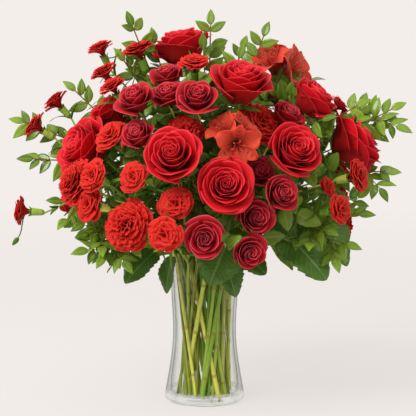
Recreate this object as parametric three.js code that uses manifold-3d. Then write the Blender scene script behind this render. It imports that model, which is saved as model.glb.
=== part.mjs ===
import * as THREE from "three";
import { mergeVertices } from "three/addons/utils/BufferGeometryUtils.js";
import Module from "manifold-3d";

// A mixed red bouquet in a clear glass vase: roses, spray roses, carnations and
// alstroemeria with leafy branches and broad collar leaves. Millimetres, +Z up.
// The origin is the middle of the vase's flat underside, and the front faces -Y.
// A way or facing is given as [azimuth, elevation] in degrees: azimuth 0 is the
// front and 90 is +X.

const wasm = await Module();
wasm.setup();

const TAU = 2 * Math.PI;
const DEG = Math.PI / 180;
const GAP = 0.3;

// Vase: [radius, height] of the outside from the foot up, then of the inside down
const VASE_SIDES = 24;
const VASE_FLOOR = 9;
const VASE_OUTSIDE = [[50, 0], [57, 8], [51, 40], [46.2, 75], [45, 108], [47.4, 153], [49, 202]];
const VASE_LIP = [[47.3, 204]];
const VASE_INSIDE = [
  [45.5, 202], [43.9, 153], [41.5, 108], [42.7, 75], [47.3, 40], [49.5, 15], [46, VASE_FLOOR],
];

// Stems stand on the glass floor, run straight to the neck and bend out to the blooms
const FOOT_Z = VASE_FLOOR + 1.2;
const NECK_Z = 203;
const FOOT_LIMIT = 41;
const FOOT_RADII = [14, 27, 40];
const FOOT_TURN = 15;
const NECK_RINGS = [[4, 9], [8, 20], [12, 31], [18, 41]];
const LEAN_HEIGHTS = [30, 40, 50, 60, 70, 80, 90, 100, 110, 120, 130, 140, 150, 160, 170];
const LEAN_TOUCH = 0.68;
const LEVEL_TRAVEL = 52;
const TRAVEL_COST = 0.05;
const INWARD_SHARE = 0.88;
const INWARD_COST = 0.15;
const GLASS_ROOM = 0.6;
const MUST = 50;
const FORK_SHARE = 0.6;
const FORK_STEPS = 3;
const SINGLE_STEPS = 3;
const STEM_SIDES = 4;
const FORK_SIDES = 3;
const STEM_ROOM = 2;
const BEND_REACH = 0.4;
const PUSH_ROUNDS = 30;
const PUSH_SHARE = 0.6;
const SMOOTH_SHARE = 0.06;
const BRANCH_RADIUS = 1.9;
const TWIG_RADIUS = 0.9;
const TIP_RADIUS = 1;
const BRANCH_ROOM = 3.2;
const MAIN_STEPS = 7;
const TWIG_STEPS = 5;
const BACK_Y = 70;
const CROWN = new THREE.Vector3(0, 0, 235);

// Stem thickness, the depth of a bloom behind its rim, and the round space that it fills
const KINDS = {
  rose: { stem: 3.2, fork: 1.6, base: 1.05, space: 0.94, behind: 0.25 },
  spray_rose: { stem: 2.7, fork: 1.4, base: 1.0, space: 0.92, behind: 0.25 },
  carnation: { stem: 2.5, fork: 1.3, base: 0.5, space: 0.92, behind: 0.25 },
  alstroemeria: { stem: 2.7, fork: 1.4, base: 0.9, space: 0.92, behind: 0.3 },
};

// Blooms: node, kind, radius, the middle of the rim, the way it faces, and its stem.
// Blooms of one spray that touch share a node.
const BLOOMS = [
  ["rose_1", "rose", 39, [-42, -196, 364], [-10, 27], "r1"],
  ["rose_2", "rose", 37, [27, -200, 324], [4, 16], "r2"],
  ["rose_3", "rose", 38, [121, -168, 369], [24, 27], "r3"],
  ["rose_4", "rose", 42, [53, -148, 456], [16, 46], "r4"],
  ["rose_5", "rose", 36, [-32, -14, 510], [-60, 78], "r5"],
  ["rose_6", "rose", 33, [154, -60, 435], [72, 48], "r6"],
  ["rose_7", "rose", 38, [216, -40, 366], [72, 22], "r7"],
  ["rose_8", "rose", 40, [-171, -72, 367], [-56, 26], "r8"],
  ["rose_9", "rose", 35, [-139, -24, 421], [-78, 50], "r9"],
  ["rose_10", "rose", 38, [101, 161, 347], [148, 29], "r10"],
  ["rose_11", "rose", 39, [-98, 170, 313], [-150, 20], "r11"],
  ["rose_12", "rose", 38, [18, 125, 447], [172, 59], "r12"],
  ["rose_13", "rose", 37, [-123, 96, 425], [-128, 50], "r13"],
  ["spray_rose_1", "spray_rose", 26, [-92, -154, 436], [-31, 47], "s1"],
  ["spray_rose_2", "spray_rose", 23, [-49, -140, 442], [-19, 54], "s2"],
  ["spray_rose_3", "spray_rose", 27, [-9, -166, 438], [-3, 44], "s2"],
  ["spray_rose_4", "spray_rose", 22, [-51, -104, 468], [-24, 62], "s2"],
  ["spray_rose_5", "spray_rose", 24, [-88, -159, 388], [-28, 39], "s1"],
  ["spray_rose_6", "spray_rose", 23, [73, -148, 339], [26, 31], "s3"],
  ["spray_rose_7", "spray_rose", 25, [102, -183, 312], [29, 19], "s3"],
  ["spray_rose_8", "spray_rose", 26, [67, -181, 280], [20, 11], "s4"],
  ["spray_rose_9", "spray_rose", 24, [60, -186, 234], [18, -4], "s4"],
  ["spray_rose_10", "spray_rose", 27, [0, -207, 254], [-1, 4], "s4"],
  ["spray_rose_11", "spray_rose", 24, [113, -110, 415], [46, 48], "s3"],
  ["spray_rose_12", "spray_rose", 25, [136, 93, 418], [125, 47], "s6"],
  ["spray_rose_12", "spray_rose", 24, [102, 100, 441], [134, 55], "s6"],
  ["spray_rose_12", "spray_rose", 23, [130, 126, 397], [135, 38], "s6"],
  ["spray_rose_12", "spray_rose", 24, [70, 88, 464], [140, 66], "s6"],
  ["spray_rose_13", "spray_rose", 25, [-194, 83, 308], [-113, 18], "s7"],
  ["spray_rose_13", "spray_rose", 24, [-197, 69, 347], [-108, 28], "s7"],
  ["spray_rose_13", "spray_rose", 24, [-188, 95, 269], [-117, 8], "s7"],
  ["spray_rose_13", "spray_rose", 23, [-203, 53, 283], [-105, 12], "s7"],
  ["carnation_1", "carnation", 32, [-170, -127, 319], [-54, 21], "c1"],
  ["carnation_1", "carnation", 22, [-141, -160, 330], [-41, 23], "c1"],
  ["carnation_1", "carnation", 24, [-147, -149, 293], [-45, 14], "c1"],
  ["carnation_2", "carnation", 31, [-98, -177, 268], [-27, 8], "c2"],
  ["carnation_3", "carnation", 22, [-49, -199, 259], [-15, 6], "c3"],
  ["carnation_4", "carnation", 24, [-35, -175, 296], [-11, 17], "c3"],
  ["carnation_5", "carnation", 22, [-89, -176, 330], [-27, 25], "c4"],
  ["carnation_6", "carnation", 25, [-121, -128, 380], [-43, 39], "c4"],
  ["carnation_7", "carnation", 27, [-27, -132, 388], [-10, 30], "c5"],
  ["carnation_8", "carnation", 27, [74, -112, 399], [32, 34], "c6"],
  ["carnation_9", "carnation", 21, [-13, -121, 476], [-6, 63], "c8"],
  ["carnation_10", "carnation", 24, [-90, -50, 496], [-60, 69], "c8"],
  ["carnation_11", "carnation", 21, [-144, -20, 499], [-70, 66], "c8"],
  ["carnation_12", "carnation", 22, [-136, -56, 465], [-67, 57], "c9"],
  ["carnation_13", "carnation", 21, [-208, -10, 425], [-87, 46], "c10"],
  ["carnation_14", "carnation", 22, [-235, -20, 392], [-85, 33], "c10"],
  ["carnation_15", "carnation", 22, [-252, -40, 275], [-88, 4], "c10"],
  ["carnation_16", "carnation", 24, [205, -90, 327], [60, 14], "c12"],
  ["carnation_17", "carnation", 15, [162, -124, 314], [53, 20], "c12"],
  ["carnation_18", "carnation", 22, [175, -143, 286], [51, 12], "c12"],
  ["carnation_19", "carnation", 18, [187, -20, 421], [84, 44], "c12"],
  ["carnation_20", "carnation", 20, [-123, -88, 446], [-56, 54], "c9"],
  ["carnation_21", "carnation", 31, [2, 192, 319], [179, 22], "c14"],
  ["carnation_21", "carnation", 23, [16, 196, 281], [174, 11], "c14"],
  ["carnation_21", "carnation", 23, [-34, 190, 297], [-170, 14], "c14"],
  ["carnation_21", "carnation", 25, [4, 190, 357], [178, 22], "c14"],
  ["carnation_22", "carnation", 31, [196, 80, 283], [112, 11], "c15"],
  ["carnation_22", "carnation", 24, [197, 67, 321], [106, 18], "c13"],
  ["carnation_22", "carnation", 22, [191, 52, 351], [102, 26], "c13"],
  ["carnation_22", "carnation", 23, [203, 60, 247], [106, 1], "c15"],
  ["carnation_22", "carnation", 23, [181, 106, 255], [121, 3], "c15"],
  ["alstroemeria_1", "alstroemeria", 34, [42, -183, 393], [10, 32], "a1"],
  ["alstroemeria_2", "alstroemeria", 34, [112, 4, 488], [60, 60], "a2"],
];

// Leafy branches: the tips of the stem and of its twigs
const BRANCHES = [
  { name: "branch_1", tips: [[-106, -30, 548], [-73, -20, 526], [-120, -40, 498]] },
  { name: "branch_2", tips: [[9, 0, 553], [53, -40, 504], [-2, -60, 516]] },
  { name: "branch_3", tips: [[89, 0, 536], [226, -38, 430], [172, -100, 408]] },
  { name: "branch_4", tips: [[278, -20, 425], [262, -4, 396], [269, -40, 331]] },
  { name: "branch_5", tips: [[227, -90, 276], [206, -110, 233], [172, -140, 256]] },
  { name: "branch_6", tips: [[-197, 12, 455], [-274, 8, 404], [-253, -60, 350]] },
  { name: "branch_7", tips: [[-209, -90, 295], [-168, -120, 249], [-140, -140, 214]] },
  { name: "branch_8", tips: [[-50, 110, 505], [60, 60, 520], [-170, 120, 355], [66, 200, 300]] },
];

// Broad collar leaves: the blade's base and tip, its width, and the way its face looks
const COLLAR_LEAVES = [
  { base: [-68, -70, 222], tip: [-111, -100, 187], width: 42, facing: [-30, 30] },
  { base: [-44, -70, 216], tip: [-58, -84, 166], width: 30, facing: [-50, 15] },
  { base: [30, -75, 230], tip: [5, -100, 180], width: 58, facing: [-5, 30] },
  { base: [27, -74, 212], tip: [46, -90, 162], width: 36, facing: [20, 15] },
  { base: [48, -72, 222], tip: [86, -90, 196], width: 40, facing: [25, 20] },
  { base: [108, -95, 252], tip: [169, -125, 195], width: 68, facing: [20, 30] },
  { base: [164, -60, 268], tip: [204, -74, 204], width: 44, facing: [35, 20] },
  { base: [84, -88, 281], tip: [126, -112, 244], width: 48, facing: [15, 40] },
  { base: [80, 45, 232], tip: [138, 62, 186], width: 54, facing: [115, 40] },
  { base: [50, 80, 232], tip: [88, 132, 186], width: 54, facing: [150, 40] },
  { base: [-2, 95, 228], tip: [-6, 150, 180], width: 54, facing: [180, 40] },
  { base: [-50, 80, 234], tip: [-92, 134, 190], width: 54, facing: [-145, 40] },
  { base: [-88, 15, 232], tip: [-150, 22, 188], width: 52, facing: [-95, 40] },
];

// Leaflets of the branches
const LEAFLET = { length: 24, width: 12, thick: 0.9, spacing: 20, pairs: 2, spread: 52 };

const COLOURS = {
  rose: 0xb61f22,
  spray_rose: 0x8f1a22,
  carnation: 0xb4231a,
  alstroemeria: 0xb8341d,
  stem: 0x84903a,
  leaf: 0x4d7026,
  glass: 0xe8f0ee,
};
const ROUGHNESS = { glass: 0.05, stem: 0.5, leaf: 0.45, petal: 0.6 };

// A repeatable number between 0 and 1 for each whole number
function draw(seed) {
  const value = Math.sin(seed * 12.9898) * 43758.5453;
  return value - Math.floor(value);
}

function point(xyz) {
  return new THREE.Vector3(...xyz);
}

// The unit vector of a facing
function wayOf(azimuth, elevation) {
  const level = Math.cos(elevation * DEG);
  return new THREE.Vector3(
    Math.sin(azimuth * DEG) * level,
    -Math.cos(azimuth * DEG) * level,
    Math.sin(elevation * DEG),
  );
}

function azimuthOf(vector) {
  return Math.atan2(vector.x, -vector.y) / DEG;
}

function onCircle(azimuth, radius, height) {
  return wayOf(azimuth, 0).multiplyScalar(radius).setZ(height);
}

// Two unit vectors square to a way, the first of them level
function sidesOf(way) {
  const level = new THREE.Vector3(0, 0, 1).cross(way);
  if (level.length() < 1e-3) level.set(1, 0, 0);
  level.normalize();
  return [level, way.clone().cross(level)];
}

// A solid from vertices and faces, turned right way out
function solidOf(vertices, faces) {
  const vertProperties = new Float32Array(vertices.flatMap((v) => [v.x, v.y, v.z]));
  const build = (list) => new wasm.Manifold(new wasm.Mesh({
    numProp: 3,
    vertProperties,
    triVerts: new Uint32Array(list.flat()),
  }));
  const solid = build(faces);
  if (solid.volume() > 0) return solid;
  return build(faces.map(([a, b, c]) => [a, c, b]));
}

// A closed skin over a stack of rings of points, with a pole at each end. A thin blade
// is split alike on both of its faces, so that they don't cross where it waves.
function ringSolid(bottom, rings, top, thin = false) {
  const count = rings[0].length;
  const vertices = [bottom, ...rings.flat(), top];
  const at = (ring, side) => 1 + ring * count + (side % count);
  const faces = [];
  for (let side = 0; side < count; side++) {
    faces.push([0, at(0, side + 1), at(0, side)]);
    for (let ring = 1; ring < rings.length; ring++) {
      const corners = [at(ring - 1, side), at(ring - 1, side + 1), at(ring, side + 1), at(ring, side)];
      if (thin && side >= count / 2) corners.push(corners.shift());
      const [a, b, c, d] = corners;
      faces.push([a, b, c], [a, c, d]);
    }
    faces.push([at(rings.length - 1, side), at(rings.length - 1, side + 1), vertices.length - 1]);
  }
  return solidOf(vertices, faces);
}

// A tube through points, with a radius at each point
function tube(points, radii, sides) {
  let across = null;
  const rings = points.map((centre, i) => {
    const before = points[Math.max(i - 1, 0)];
    const after = points[Math.min(i + 1, points.length - 1)];
    const way = after.clone().sub(before).normalize();
    if (across) across.addScaledVector(way, -across.dot(way)).normalize();
    else across = sidesOf(way)[0];
    const other = way.clone().cross(across);
    const ring = [];
    for (let side = 0; side < sides; side++) {
      const angle = TAU * side / sides;
      ring.push(centre.clone()
        .addScaledVector(across, radii[i] * Math.cos(angle))
        .addScaledVector(other, radii[i] * Math.sin(angle)));
    }
    return ring;
  });
  return ringSolid(points[0].clone(), rings, points[points.length - 1].clone());
}

// A smooth bend from one point and way to another
function bend(start, startWay, end, endWay, steps) {
  const reach = start.distanceTo(end) * BEND_REACH;
  return new THREE.CubicBezierCurve3(
    start,
    start.clone().addScaledVector(startWay, reach),
    end.clone().addScaledVector(endWay, -reach),
    end,
  ).getPoints(steps);
}

// The nearest point of a straight stretch
function nearestOn(a, b, place) {
  const along = b.clone().sub(a);
  const share = along.lengthSq() ? place.clone().sub(a).dot(along) / along.lengthSq() : 0;
  return a.clone().addScaledVector(along, Math.min(Math.max(share, 0), 1));
}

// Push the free points of a route out of what already fills the space
function bendClear(points, first, last, taken, room) {
  for (let round = 0; round < PUSH_ROUNDS; round++) {
    for (let i = first; i <= last; i++) {
      for (const { a, b, radius } of taken) {
        const away = points[i].clone().sub(nearestOn(a, b, points[i]));
        const short = radius + room - away.length();
        if (short > 0) points[i].addScaledVector(away.normalize(), short * PUSH_SHARE);
      }
      const middle = points[i - 1].clone().add(points[i + 1]).multiplyScalar(0.5);
      points[i].lerp(middle, SMOOTH_SHARE);
    }
  }
}

// Straight stretches of a route as filled space
function spaceAlong({ points, radii }) {
  return points.slice(1).map((b, i) => {
    return { a: points[i], b, radius: Math.max(radii[i], radii[i + 1]) };
  });
}

const blooms = BLOOMS.map(([node, kind, radius, rim, facing, stem], index) => {
  const { base, space, behind } = KINDS[kind];
  const way = wayOf(...facing);
  const centre = point(rim).addScaledVector(way, -behind * radius);
  return {
    node, kind, radius, way, stem, index,
    rim: point(rim),
    base: point(rim).addScaledVector(way, -base * radius),
    space: { a: centre, b: centre, radius: space * radius },
  };
});

// Bloom shapes. Each ring is [radius, height, ruffle, lift, turn] as shares of the bloom's
// radius: a column of a petal stands out by ruffle and up by lift times the petal's saw.
const BLOOM_SHAPES = {
  rose: {
    petals: 5,
    saw: [-1, 0.55, 0.45],
    lift: [0.6, -1, 0.4],
    rings: [
      [0.16, -1.05, 0, 0, 0],
      [0.84, -0.5, 0.03, 0, 0],
      [0.97, 0.0, 0.1, 0.09, 0],
      [0.72, -0.06, 0.03, 0, 1],
      [0.66, 0.18, 0.08, 0.05, 2],
      [0.4, 0.06, 0.02, 0, 2],
      [0.3, 0.3, 0.05, 0.04, 1],
    ],
    top: 0.14,
  },
  spray_rose: {
    petals: 5,
    saw: [-1, 0.8],
    lift: [0.8, -0.8],
    rings: [
      [0.18, -1.0, 0, 0, 0],
      [0.8, -0.46, 0.03, 0, 0],
      [0.95, 0.0, 0.11, 0.1, 0],
      [0.62, -0.04, 0.03, 0, 1],
      [0.46, 0.24, 0.08, 0.05, 1],
    ],
    top: 0.1,
  },
  carnation: {
    petals: 5,
    saw: [-1, 1],
    lift: [1, -1],
    rings: [
      [0.2, -0.5, 0, 0, 0],
      [0.94, 0.0, 0.12, 0.14, 0],
      [0.66, 0.1, 0.04, -0.05, 1],
      [0.5, 0.42, 0.14, 0.1, 0],
    ],
    top: 0.22,
  },
  carnation_large: {
    petals: 6,
    saw: [-1, 1],
    lift: [1, -1],
    rings: [
      [0.2, -0.5, 0, 0, 0],
      [0.97, -0.06, 0.1, 0.12, 0],
      [0.74, 0.05, 0.03, -0.05, 1],
      [0.66, 0.34, 0.1, 0.1, 1],
      [0.36, 0.24, 0.05, 0.04, 0],
    ],
    top: 0.5,
  },
  floret: {
    petals: 6,
    saw: [-1, 1],
    lift: [-1, 1],
    rings: [
      [0.2, -0.9, 0, 0, 0],
      [0.7, 0.0, 0.3, 0.06, 0],
      [0.3, -0.3, 0.05, 0, 0],
    ],
    top: -0.5,
  },
};
const LARGE_CARNATION = 26;
const FLORET_LEAN = 1;
const FLORET_SIZE = 0.8;
const FLORET_RAISE = 0.05;

// One bloom: rings of petal edges and the valleys between them, raised by the shape's formula
function petalHead(shape, radius, rim, way, turn) {
  const [u, v] = sidesOf(way);
  const columns = shape.saw.length * shape.petals;
  const place = (share, height, angle) => rim.clone()
    .addScaledVector(u, share * radius * Math.cos(angle))
    .addScaledVector(v, share * radius * Math.sin(angle))
    .addScaledVector(way, height * radius);
  const rings = shape.rings.map(([share, height, ruffle, lift, shift]) => {
    const ring = [];
    for (let column = 0; column < columns; column++) {
      const step = (column + shift) % shape.saw.length;
      const angle = turn + TAU * column / columns;
      ring.push(place(share + ruffle * shape.saw[step], height + lift * shape.lift[step], angle));
    }
    return ring;
  });
  const bottom = rim.clone().addScaledVector(way, shape.rings[0][1] * radius);
  return ringSolid(bottom, rings, rim.clone().addScaledVector(way, shape.top * radius));
}

// Three florets side by side on one short throat
function floretCluster(bloom) {
  const [u, v] = sidesOf(bloom.way);
  const florets = [0, 1, 2].map((i) => {
    const angle = 90 * DEG + TAU * i / 3;
    const lean = bloom.way.clone()
      .addScaledVector(u, FLORET_LEAN * Math.cos(angle))
      .addScaledVector(v, FLORET_LEAN * Math.sin(angle))
      .normalize();
    const size = bloom.radius * FLORET_SIZE;
    const rim = bloom.base.clone()
      .addScaledVector(lean, size)
      .addScaledVector(bloom.way, FLORET_RAISE * bloom.radius);
    return petalHead(BLOOM_SHAPES.floret, size, rim, lean, i);
  });
  return wasm.Manifold.union(florets);
}

function bloomSolid(bloom) {
  if (bloom.kind === "alstroemeria") return floretCluster(bloom);
  const large = bloom.kind === "carnation" && bloom.radius > LARGE_CARNATION;
  const shape = BLOOM_SHAPES[large ? "carnation_large" : bloom.kind];
  return petalHead(shape, bloom.radius, bloom.rim, bloom.way, TAU * draw(bloom.index + 1));
}

// Stem layout: one main stem for each stem name, which forks where it carries several blooms
const stems = [...new Set(blooms.map((bloom) => bloom.stem))].map((name) => {
  const carried = blooms.filter((bloom) => bloom.stem === name);
  const middle = new THREE.Vector3();
  for (const bloom of carried) middle.addScaledVector(bloom.base, 1 / carried.length);
  const way = middle.clone().sub(CROWN).normalize();
  return { name, carried, middle, way, radius: KINDS[carried[0].kind].stem };
});

const branches = BRANCHES.map(({ name, tips }) => {
  const ends = tips.map(point);
  return { name, ends, way: ends[0].clone().sub(CROWN).normalize(), radius: BRANCH_RADIUS };
});

// At the neck the stems that rise highest stand in the middle, and each ring keeps their
// order round the bouquet
function placeNecks(lines) {
  const order = [...lines].sort((one, other) => other.way.z - one.way.z);
  let used = 0;
  for (const [count, radius] of NECK_RINGS) {
    const ring = order.slice(used, used + count);
    ring.sort((one, other) => azimuthOf(one.way) - azimuthOf(other.way));
    used += count;
    const lag = new THREE.Vector3();
    ring.forEach((line, i) => lag.add(wayOf(azimuthOf(line.way) - 360 * i / ring.length, 0)));
    ring.forEach((line, i) => {
      line.neck = onCircle(azimuthOf(lag) + 360 * i / ring.length, radius, NECK_Z);
    });
  }
}

// The level place of a straight stem at a height
function levelAt(line, height) {
  return line.foot.clone().lerp(line.neck, (height - FOOT_Z) / (NECK_Z - FOOT_Z)).setZ(0);
}

// The smallest level distance between two straight stems inside the vase
function levelGap(one, other) {
  const low = levelAt(one, FOOT_Z).sub(levelAt(other, FOOT_Z));
  const high = levelAt(one, NECK_Z).sub(levelAt(other, NECK_Z));
  return nearestOn(low, high, new THREE.Vector3()).length();
}

// How badly a straight stem fits: how far it travels sideways, cuts across the middle,
// presses into the glass, crowds the stems that it doesn't lean on, and nears the branches
function crowding(line, partner, standing) {
  const travel = levelAt(line, FOOT_Z).distanceTo(levelAt(line, NECK_Z));
  let cost = TRAVEL_COST * Math.abs(travel - LEVEL_TRAVEL);
  const inmost = nearestOn(levelAt(line, FOOT_Z), levelAt(line, NECK_Z), new THREE.Vector3()).length();
  cost += INWARD_COST * Math.max(0, INWARD_SHARE * levelAt(line, NECK_Z).length() - inmost);
  for (const [radius, height] of VASE_INSIDE) {
    const out = levelAt(line, Math.max(height, FOOT_Z)).length() + line.radius;
    cost += MUST * Math.max(0, out + GLASS_ROOM - radius);
  }
  for (const other of standing) {
    if (other === partner) continue;
    const apart = levelGap(line, other) - line.radius - other.radius;
    const branch = line.ends || other.ends;
    cost += branch ? MUST * Math.max(0, 1 - apart) : Math.max(0, -apart);
  }
  return cost;
}

// The feet that a stem could have: for a branch, places all over the floor, and for a
// flower stem, those where it leans on a stem that already stands in the vase
function possibleFeet(line, standing) {
  const leans = standing.filter((other) => !other.ends);
  const feet = [];
  if (line.ends || !leans.length) {
    for (const radius of FOOT_RADII) {
      for (let azimuth = 0; azimuth < 360; azimuth += FOOT_TURN) {
        feet.push({ foot: onCircle(azimuth, radius, FOOT_Z) });
      }
    }
    return feet;
  }
  for (const partner of leans) {
    for (const height of LEAN_HEIGHTS) {
      for (const side of [-1, 1]) {
        const foot = leaningFoot(line, partner, height, side).setZ(FOOT_Z);
        if (Math.hypot(foot.x, foot.y) < FOOT_LIMIT) feet.push({ foot, partner });
      }
    }
  }
  return feet;
}

function placeFeet(lines) {
  const standing = [];
  for (const line of lines) {
    let best = Infinity;
    for (const { foot, partner } of possibleFeet(line, standing)) {
      const cost = crowding({ ...line, foot }, partner, standing);
      if (cost < best) {
        best = cost;
        line.foot = foot;
      }
    }
    standing.push(line);
  }
}

// Where a stem stands that touches a partner at a height, on one side of it
function leaningFoot(stem, partner, height, side) {
  const touch = levelAt(partner, height);
  const rise = NECK_Z - height;
  const slope = stem.neck.clone().setZ(0).sub(touch).divideScalar(rise);
  const drift = levelAt(partner, NECK_Z).sub(levelAt(partner, FOOT_Z)).divideScalar(NECK_Z - FOOT_Z);
  const apart = slope.sub(drift);
  const square = new THREE.Vector3(-apart.y, apart.x, 0).normalize();
  touch.addScaledVector(square, side * LEAN_TOUCH * (stem.radius + partner.radius));
  const run = touch.sub(stem.neck.clone().setZ(0));
  return stem.neck.clone().setZ(0).addScaledVector(run, (NECK_Z - FOOT_Z) / rise);
}

// A calyx in shares of the bloom's radius: [distance behind the bloom, radius], where a
// radius of 0 stands for the stem's own
const LONG_CALYX = [[0.85, 0], [0.7, 0.2], [0, 0.26]];
const SHORT_CALYX = [[0.3, 0], [0, 0.21]];

// The end of a stem under a bloom: [distance behind the bloom, radius] up to the calyx
function calyx(bloom, thin) {
  const r = bloom.radius;
  const shape = bloom.kind === "carnation" ? LONG_CALYX : SHORT_CALYX;
  return shape.map(([behind, wide]) => [behind * r, wide ? wide * r : thin]);
}

// The last stretch of a route that ends in a bloom's calyx
function intoBloom(start, startWay, bloom, thin, steps, filled) {
  const end = calyx(bloom, thin);
  const tip = bloom.base.clone().addScaledVector(bloom.way, -GAP);
  const first = tip.clone().addScaledVector(bloom.way, -end[0][0]);
  const points = bend(start, startWay, first, bloom.way, steps);
  const others = blooms.filter((other) => other !== bloom).map((other) => other.space);
  bendClear(points, 1, points.length - 2, [...others, ...filled], thin + STEM_ROOM);
  const radii = points.map(() => thin);
  for (const [behind, radius] of end.slice(1)) {
    points.push(tip.clone().addScaledVector(bloom.way, -behind));
    radii.push(radius);
  }
  return { points, radii };
}

// All parts of one flower stem as routes, clear of the space that is already filled: the
// main stem up to its first bloom and, for a spray, a fork to each of the others
function stemRoutes(stem, filled) {
  const rising = stem.neck.clone().sub(stem.foot).normalize();
  const [first, ...others] = stem.carried;
  if (!others.length) {
    const { points, radii } = intoBloom(stem.neck, rising, first, stem.radius, SINGLE_STEPS, filled);
    return [{ points: [stem.foot, ...points], radii: [stem.radius, ...radii], sides: STEM_SIDES }];
  }
  const fork = CROWN.clone().lerp(stem.middle, FORK_SHARE);
  const main = bend(stem.neck, rising, fork, stem.way, FORK_STEPS);
  const space = [...blooms.map((bloom) => bloom.space), ...filled];
  bendClear(main, 1, main.length - 2, space, stem.radius + STEM_ROOM);
  const thin = KINDS[first.kind].fork;
  const lead = intoBloom(fork, stem.way, first, thin, FORK_STEPS, filled);
  const points = [stem.foot, ...main, ...lead.points.slice(1)];
  const radii = [stem.foot, ...main].map(() => stem.radius).concat(lead.radii.slice(1));
  return [
    { points, radii, sides: STEM_SIDES },
    ...others.map((bloom) => {
      return { ...intoBloom(fork, stem.way, bloom, thin, FORK_STEPS, filled), sides: FORK_SIDES };
    }),
  ];
}

// A leaf as a thin folded blade: its edges, and a keel under its midrib
function blade(base, way, face, length, width, thick, outline) {
  const across = face.clone().cross(way).normalize();
  const rings = outline.map(([share, half, sag]) => {
    const middle = base.clone().addScaledVector(way, share * length).addScaledVector(face, -sag * length);
    const edge = width * half;
    return [
      middle.clone().addScaledVector(across, -edge).addScaledVector(face, LEAFLET_CUP * edge),
      middle.clone().addScaledVector(face, -thick),
      middle.clone().addScaledVector(across, edge).addScaledVector(face, LEAFLET_CUP * edge),
    ];
  });
  const [, , tipSag] = outline[outline.length - 1];
  const tip = base.clone().addScaledVector(way, length).addScaledVector(face, -TIP_DROOP * tipSag * length);
  return ringSolid(base, rings, tip);
}

// [share of the length, half width, sag] of a leaflet, how far its edges rise for their
// distance from the midrib, and how much further than the last ring its tip hangs
const LEAFLET_OUTLINE = [[0.36, 0.5, 0.02], [0.74, 0.36, 0.08]];
const LEAFLET_CUP = 0.15;
const TIP_DROOP = 1.5;

// [share of the length, half width] where a leaflet needs room
const LEAFLET_PROBES = [[0.35, 0.45], [0.7, 0.4], [1, 0]];

// [share of the length, half width] of a broad leaf with coarse teeth
const BROAD_OUTLINE = [
  [0.05, 0.08], [0.22, 0.43], [0.38, 0.5], [0.46, 0.44], [0.64, 0.45], [0.72, 0.34],
];
const BROAD_THICK = 0.9;
const BROAD_SAG = 0.14;
const BROAD_CUP = 0.16;
const BROAD_WAVE = 0.05;

// Radians of a broad leaf's wave from one row to the next, and from its left edge to its right
const WAVE_STEP = 1.4;
const WAVE_SHIFT = 2;
const STALK_RADIUS = 1.3;
const STALK_STEPS = 2;
const STALK_ROOM = 1;

// A leaflet starts this far back on its twig, needs this much room, faces up by this slope,
// lifts off the twig by this share, and has a size of at least this share of the longest
const LEAFLET_BITE = 2;
const LEAFLET_ROOM = 1;
const FACE_RISE = 0.6;
const LEAFLET_LIFT = 0.12;
const LEAST_SIZE = 0.88;
const SIZE_RANGE = 0.2;

// The rings of a broad blade: left edge, keel under the midrib, right edge and the midrib's top
function broadRings(base, way, face, length, width, wave) {
  const across = face.clone().cross(way).normalize();
  return BROAD_OUTLINE.map(([share, half], row) => {
    const sag = BROAD_SAG * share * share * length;
    const middle = base.clone().addScaledVector(way, share * length).addScaledVector(face, -sag);
    const edge = width * half;
    const left = BROAD_CUP * edge + BROAD_WAVE * width * Math.sin(WAVE_STEP * row + wave);
    const right = BROAD_CUP * edge + BROAD_WAVE * width * Math.sin(WAVE_STEP * row + wave + WAVE_SHIFT);
    return [
      middle.clone().addScaledVector(across, -edge).addScaledVector(face, left),
      middle.clone().addScaledVector(face, -BROAD_THICK),
      middle.clone().addScaledVector(across, edge).addScaledVector(face, right),
      middle,
    ];
  });
}

// A collar leaf in one skin, from the nearest stem at the neck along its stalk to its tip
function collarLeaf(leaf, index, routes, filled) {
  const base = point(leaf.base);
  const tip = point(leaf.tip);
  let carrier = null;
  for (const { points } of routes) {
    const gap = points[2].distanceTo(base);
    if (points[1].z === NECK_Z && (!carrier || gap < carrier.gap)) carrier = { gap, start: points[2] };
  }
  const length = base.distanceTo(tip);
  const way = tip.clone().sub(base).normalize();
  const face = wayOf(...leaf.facing);
  face.addScaledVector(way, -face.dot(way)).normalize();
  const across = face.clone().cross(way).normalize();
  const rising = new THREE.Vector3(0, 0, 1).lerp(way, 0.5).normalize();
  const stalk = bend(carrier.start, rising, base, way, STALK_STEPS);
  bendClear(stalk, 1, stalk.length - 2, filled, STALK_RADIUS + STALK_ROOM);
  const stalkRings = stalk.slice(0, -1).map((middle) => [
    middle.clone().addScaledVector(across, -STALK_RADIUS),
    middle.clone().addScaledVector(face, -STALK_RADIUS),
    middle.clone().addScaledVector(across, STALK_RADIUS),
    middle.clone().addScaledVector(face, STALK_RADIUS),
  ]);
  const end = tip.clone().addScaledVector(face, -BROAD_SAG * length);
  const rings = [...stalkRings, ...broadRings(base, way, face, length, leaf.width, index)];
  return ringSolid(carrier.start.clone(), rings, end, true);
}

// The place and way on a route's straight stretches, at a distance back from its end
function backAlong(points, distance) {
  let left = distance;
  for (let i = points.length - 1; i > 0; i--) {
    const stretch = points[i].clone().sub(points[i - 1]);
    const length = stretch.length();
    if (left <= length) {
      const way = stretch.divideScalar(length);
      return { place: points[i].clone().addScaledVector(way, -left), way };
    }
    left -= length;
  }
  return null;
}

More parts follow.
